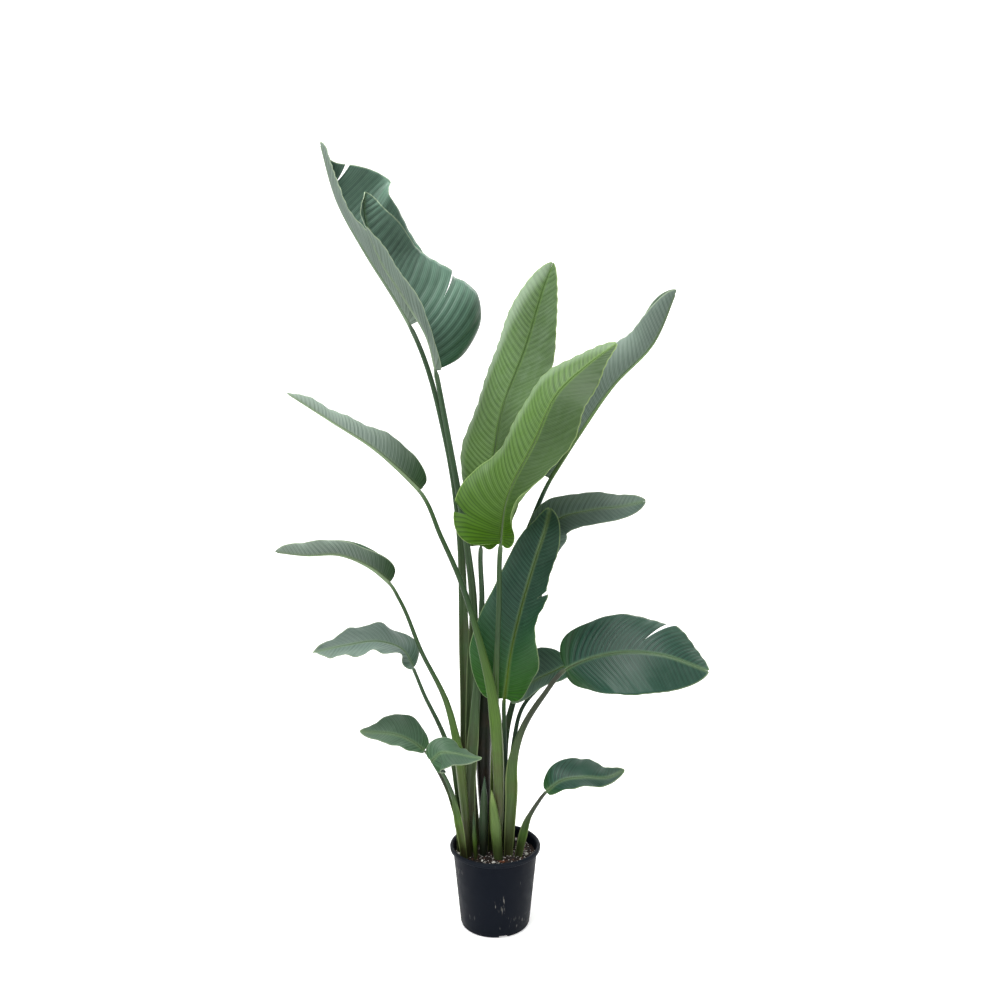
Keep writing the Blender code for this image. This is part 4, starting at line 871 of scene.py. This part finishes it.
def potTree():
    # turns the profile round the axis, presses in the mould seam and cuts the drain slots
    tree, given = newTree("turnedPot", {
        "Segments": ("Int", 160), "Corner Rounding": ("Float", 0.002), "Seam Height": ("Float", 0.0005),
        "Base Radius": ("Float", 0.0975), "Drains": ("Int", 4), "Drain Size": ("Vector", (0.036, 0.026, 0.014)),
        "First Drain": ("Float", 0.0), "Finish": ("Material", None)})
    curve = addNode(tree, "GeometryNodeMeshToCurve", {"Mesh": given["Geometry"]})
    rounding = {"Curve": curve, "Radius": given["Corner Rounding"], "Count": 4, "Limit Radius": True}
    filleted = addNode(tree, "GeometryNodeFilletCurve", rounding, mode="POLY")
    profile = addNode(tree, "GeometryNodeCurveToMesh", {"Curve": filleted})
    count = addNode(tree, "GeometryNodeAttributeDomainSize", {"Geometry": profile}, "Point Count", component="MESH")
    turns = calc(tree, "ADD", given["Segments"], 1.0)
    grid = addNode(tree, "GeometryNodeMeshGrid", {"Size X": 1.0, "Size Y": 1.0, "Vertices X": count,
                                                  "Vertices Y": turns}, "Mesh")
    # the grid counts along Y first: row = index / turns, column = index % turns
    index = addNode(tree, "GeometryNodeInputIndex")
    row = calc(tree, "FLOOR", calc(tree, "DIVIDE", index, turns))
    column = calc(tree, "MODULO", index, turns)
    angle = calc(tree, "MULTIPLY", calc(tree, "DIVIDE", column, given["Segments"]), 2 * math.pi)
    position = addNode(tree, "GeometryNodeInputPosition")
    spot = addNode(tree, "GeometryNodeSampleIndex", {"Geometry": profile, "Value": position, "Index": row},
                   data_type="FLOAT_VECTOR")
    parts = addNode(tree, "ShaderNodeSeparateXYZ", {"Vector": spot}, None).outputs
    # seam: two opposite ridges, |cos(angle)| near 1, on the wall only
    sharp = calc(tree, "ABSOLUTE", calc(tree, "COSINE", angle))
    ridge = remap(tree, sharp, 0.9996, 1.0, 0.0, given["Seam Height"])
    ridgeHere = calc(tree, "MULTIPLY", ridge, remap(tree, parts["X"], 0.09, 0.097))
    radius = calc(tree, "ADD", parts["X"], ridgeHere)
    place = addNode(tree, "ShaderNodeCombineXYZ", {"X": radius, "Z": parts["Z"]})
    turned = addNode(tree, "ShaderNodeVectorRotate", {"Vector": place, "Angle": angle}, rotation_type="Z_AXIS")
    body = addNode(tree, "GeometryNodeSetPosition", {"Geometry": grid, "Position": turned})
    closed = addNode(tree, "GeometryNodeMergeByDistance", {"Geometry": body, "Distance": 0.00002})
    # drain slots: rounded blocks on a ring round the foot
    ring = addNode(tree, "GeometryNodeMeshCircle", {"Vertices": given["Drains"], "Radius": given["Base Radius"]})
    firstTurn = addNode(tree, "ShaderNodeCombineXYZ", {"Z": given["First Drain"]})
    ringTurned = addNode(tree, "GeometryNodeTransform", {"Geometry": ring, "Rotation": firstTurn})
    block = addNode(tree, "GeometryNodeMeshCylinder", {"Vertices": 20, "Radius": 0.5, "Depth": 1.0}, "Mesh")
    blockSized = addNode(tree, "GeometryNodeTransform", {"Geometry": block, "Scale": given["Drain Size"]})
    here = addNode(tree, "ShaderNodeSeparateXYZ", {"Vector": position}, None).outputs
    facing = addNode(tree, "ShaderNodeCombineXYZ", {"Z": calc(tree, "ARCTAN2", here["Y"], here["X"])})
    slots = addNode(tree, "GeometryNodeInstanceOnPoints", {"Points": ringTurned, "Instance": blockSized,
                                                           "Rotation": facing})
    slotMesh = addNode(tree, "GeometryNodeRealizeInstances", {"Geometry": slots})
    cut = addNode(tree, "GeometryNodeMeshBoolean", {"Mesh 1": closed, "Mesh 2": slotMesh}, "Mesh",
                  operation="DIFFERENCE", solver="EXACT")
    return endTree(tree, cut, given["Finish"])


def makePot():
    base, wall, neck, lip = (potSizes[key] for key in ("base", "wall", "neck", "lip"))
    height, corner = potSizes["height"], potSizes["corner"]
    neckZ = height - potSizes["lipHeight"]
    # half section as (radius, height): underside, wall, lip, then back down the inside
    profile = [(0, 0.0012), (base * 0.55, 0.0012), (base * 0.62, 0), (base - corner, 0), (base - 0.0015, 0.0015),
               (base, corner), (neck - 0.0004, neckZ - 0.006), (neck, neckZ), (lip - 0.0022, neckZ),
               (lip, neckZ + 0.0018), (lip + 0.0002, height - 0.0035), (lip - 0.0025, height),
               (lip - 0.0065, height), (neck - wall, height - 0.006), (neck - wall, neckZ), (base - wall, corner),
               (base - corner, wall), (0, wall)]
    mesh = bpy.data.meshes.new("potProfile")
    mesh.from_pydata([(r, 0, z) for r, z in profile], [(i, i + 1) for i in range(len(profile) - 1)], [])
    finish = newFinish("blowMouldedPolyethylene", potPaint)
    made = runTree(potTree(), mesh, "potProfile", {
        "Segments": 160, "Drains": potSizes["drains"], "First Drain": math.radians(potSizes["drainFirst"]),
        "Finish": finish})
    made.shade_smooth()
    made.set_sharp_from_angle(angle=math.radians(38))
    addPiece("nurseryPot", made, [finish], ["pot"])
    print("pot made", len(made.polygons), "faces")


makePot()


def grainFinish(name, dark, light, grain, rough):
    # mineral or peaty grains: two tones mixed at the grain's own size
    def paint(tree):
        coarse = noise(tree, objectPlace(tree), 1 / (2 * grain), 5.0, 0.7)
        return {"Base Color": tones(tree, coarse, (0.35, dark), (0.65, light)),
                "Normal": bump(tree, coarse, 0.6, grain / 2), "Roughness": rough}
    return newFinish(name, paint)


peatFinish = grainFinish("dampPeat", "#0c0806", "#2e2018", 0.004, 0.92)
perliteFinish = grainFinish("perlite", "#b9b6ac", "#f2f0ea", 0.0015, 0.88)
barkFinish = grainFinish("pineBark", "#3b1d12", "#8a5236", 0.003, 0.85)


def scatterTree(name):
    # rough ground, with small chunks strewn over its top
    tree, given = newTree(name, {
        "Chunk Count": ("Int", 500), "Chunk Size": ("Float", 0.004), "Ground Lumps": ("Float", 0.004),
        "Lump Width": ("Float", 0.02), "Flatness": ("Float", 0.7), "Keep Ground": ("Bool", True),
        "Seed": ("Int", 3), "Finish": ("Material", None)})
    position = addNode(tree, "GeometryNodeInputPosition")
    lumps = noise(tree, position, calc(tree, "DIVIDE", 1.0, given["Lump Width"]), 4.0, 0.6)
    height = calc(tree, "MULTIPLY", calc(tree, "SUBTRACT", lumps, 0.5), given["Ground Lumps"])
    move = addNode(tree, "ShaderNodeCombineXYZ", {"Z": calc(tree, "MULTIPLY", height, 2.0)})
    normal = addNode(tree, "GeometryNodeInputNormal")
    upward = calc(tree, "GREATER_THAN", addNode(tree, "ShaderNodeSeparateXYZ", {"Vector": normal}, "Z"), 0.6)
    ground = addNode(tree, "GeometryNodeSetPosition", {"Geometry": given["Geometry"], "Selection": upward,
                                                       "Offset": move})
    dots = addNode(tree, "GeometryNodeDistributePointsOnFaces", {
        "Mesh": ground, "Selection": upward, "Density": 400000.0, "Seed": given["Seed"]}, "Points")
    # keep only the wanted number of dots
    size = addNode(tree, "GeometryNodeAttributeDomainSize", {"Geometry": dots}, "Point Count",
                   component="POINTCLOUD")
    dice = addNode(tree, "FunctionNodeRandomValue", {"Seed": given["Seed"]}, 1, data_type="FLOAT")
    spare = calc(tree, "GREATER_THAN", dice, calc(tree, "DIVIDE", given["Chunk Count"], size))
    kept = addNode(tree, "GeometryNodeDeleteGeometry", {"Geometry": dots, "Selection": spare}, domain="POINT")
    # one chunk: a ball pushed in and out, then turned, sized and flattened at each dot
    chunk = addNode(tree, "GeometryNodeMeshIcoSphere", {"Radius": 0.5, "Subdivisions": 2}, "Mesh")
    grow = remap(tree, noise(tree, position, 2.2, 1.0), 0.3, 0.7, 0.62, 1.15)
    rough = addNode(tree, "ShaderNodeVectorMath", {0: position, "Scale": grow}, operation="SCALE")
    chunkRough = addNode(tree, "GeometryNodeSetPosition", {"Geometry": chunk, "Position": rough})
    turn = addNode(tree, "FunctionNodeRandomValue", {0: (0, 0, 0), 1: (6.28, 6.28, 6.28), "Seed": given["Seed"]},
                   data_type="FLOAT_VECTOR")
    small = addNode(tree, "FunctionNodeRandomValue", {2: 0.45, 3: 1.35, "Seed": given["Seed"]}, 1,
                    data_type="FLOAT")
    chunkSize = calc(tree, "MULTIPLY", small, given["Chunk Size"])
    flat = calc(tree, "MULTIPLY", chunkSize, given["Flatness"])
    sizes = addNode(tree, "ShaderNodeCombineXYZ", {"X": chunkSize, "Y": flat, "Z": flat})
    strewn = addNode(tree, "GeometryNodeInstanceOnPoints", {
        "Points": kept, "Instance": chunkRough, "Rotation": turn, "Scale": sizes})
    shown = addNode(tree, "GeometryNodeSwitch", {"Switch": given["Keep Ground"], "True": ground},
                    input_type="GEOMETRY")
    joined = addNode(tree, "GeometryNodeJoinGeometry", {"Geometry": strewn}, None)
    tree.links.new(shown, joined.inputs[0])
    return endTree(tree, joined.outputs[0], given["Finish"])


def soilMesh():
    # closed body inside the pot with a fine polar top
    low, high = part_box("soil")
    top, bottom, radius = high[2], low[2], high[0]
    foot, sides = potSizes["base"] - potSizes["corner"] - 0.001, 150
    rings = [(r, top) for r in np.linspace(0.0, radius - 0.0004, 46)[1:]]
    rings += [(radius, top - 0.004), (potSizes["base"] - 0.0025, bottom + 0.004), (foot, bottom)]
    turns = [2 * math.pi * k / sides for k in range(sides)]
    points = [(0, 0, top)] + [(r * math.cos(t), r * math.sin(t), z) for r, z in rings for t in turns]
    points.append((0, 0, bottom))
    faces = [(0, 1 + k, 1 + (k + 1) % sides) for k in range(sides)]
    for i in range(len(rings) - 1):
        for k in range(sides):
            a, b = 1 + i * sides + k, 1 + i * sides + (k + 1) % sides
            faces.append((a, a + sides, b + sides, b))
    last = 1 + (len(rings) - 1) * sides
    faces += [(last + (k + 1) % sides, last + k, len(points) - 1) for k in range(sides)]
    return buildMesh("soilBody", points, faces)


strewTree = scatterTree("strewnGround")
ground = {"Ground Lumps": 0.0045, "Lump Width": 0.022}
strewn = [
    ("pottingMix", peatFinish, "potting_mix", ["soil"],
     {"Chunk Count": 3200, "Chunk Size": 0.0042, "Flatness": 0.75, "Seed": 4}),
    ("perliteGrains", perliteFinish, "perlite", [],
     {"Chunk Count": 420, "Chunk Size": 0.0078, "Flatness": 0.85, "Seed": 11, "Keep Ground": False}),
    ("barkChips", barkFinish, "bark", [],
     {"Chunk Count": 150, "Chunk Size": 0.014, "Flatness": 0.4, "Seed": 23, "Keep Ground": False})]
for name, finish, slot, nodes, look in strewn:
    made = runTree(strewTree, soilMesh(), name, {**ground, **look, "Finish": finish})
    if nodes:
        made.shade_smooth()
    addPiece(name, made, [finish], nodes)
print("potting mix made")


def makeLump(node, finish, seed):
    # a broken grain: its box from the part, its surface crumbled
    low, high = (Vector(c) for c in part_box(node))
    radius = 0.5
    shape = bmesh.new()
    bmesh.ops.create_icosphere(shape, subdivisions=3, radius=radius)
    chance = np.random.default_rng(seed)
    hits = unit(chance.normal(size=(14, 3)))
    for vert in shape.verts:
        p = np.array(vert.co)
        d = radius
        for k, h in enumerate(hits):
            # flats knocked off at random sides
            d = min(d, (0.36 + 0.10 * ((k * 37) % 10) / 10) / max(0.15, float(p @ h) / radius))
        vert.co = Vector(p / radius * d)
    size = high - low
    reach = Vector([max(abs(v.co[i]) for v in shape.verts) for i in range(3)])
    centre = (low + high) / 2
    for vert in shape.verts:
        vert.co = Vector([centre[i] + vert.co[i] / reach[i] * size[i] / 2 * 1.04 for i in range(3)])
    mesh = bpy.data.meshes.new(node)
    shape.to_mesh(mesh)
    shape.free()
    mesh.shade_smooth()
    mesh.set_sharp_from_angle(angle=math.radians(28))
    addPiece("lump_" + node, mesh, [finish], [node])


for seed, side in enumerate(("left", "middle", "front", "right", "back")):
    makeLump("perlite_" + side, perliteFinish, 40 + seed)
for seed, side in enumerate(("front", "right")):
    makeLump("bark_" + side, barkFinish, 60 + seed)
print("lumps made")


lights = [("skyPanel", (-0.7, -0.5, 4.2), (0, 0, 1.0), (2.2, 2.0), 170),
          ("frontPanel", (-1.9, -3.0, 2.9), (0, 0, 1.1), (1.6, 1.6), 30),
          ("backPanel", (1.3, 2.0, 3.4), (0, 0.2, 1.2), (2.0, 1.2), 30)]


def makeStudio():
    # pale floor that runs up into a pale wall behind
    bend = [(2.2 + 1.6 * math.sin(a), 1.6 - 1.6 * math.cos(a)) for a in np.linspace(0.1, math.pi / 2, 14)]
    profile = [(-6.0, 0.0), (2.2, 0.0)] + bend + [(3.8, 6.5)]
    points = [(x, y, z) for y, z in profile for x in (-7.0, 7.0)]
    faces = [(2 * i, 2 * i + 1, 2 * i + 3, 2 * i + 2) for i in range(len(profile) - 1)]
    mesh = buildMesh("studioFloor", points, faces)
    floor = bpy.data.objects.new("studioFloor", mesh)
    bpy.context.scene.collection.objects.link(floor)
    paint = {"Base Color": "#f7f7f6", "Roughness": 0.9, "Emission Color": "#ffffff", "Emission Strength": 0.45}
    mesh.materials.append(newFinish("palePaint", lambda tree: paint))
    world = bpy.data.worlds.new("softWhite")
    world.use_nodes = True
    fillSockets(world.node_tree, world.node_tree.nodes["Background"].inputs, {"Color": "#ffffff", "Strength": 0.42})
    bpy.context.scene.world = world
    for name, place, aim, size, power in lights:
        data = bpy.data.lights.new(name, "AREA")
        data.shape = "RECTANGLE"
        data.size, data.size_y = size
        data.energy = power
        lamp = bpy.data.objects.new(name, data)
        lamp.location = place
        lamp.rotation_euler = (Vector(aim) - Vector(place)).to_track_quat("-Z", "Y").to_euler()
        bpy.context.scene.collection.objects.link(lamp)


makeStudio()
bpy.context.scene.view_settings.view_transform = "Standard"
print("studio made")
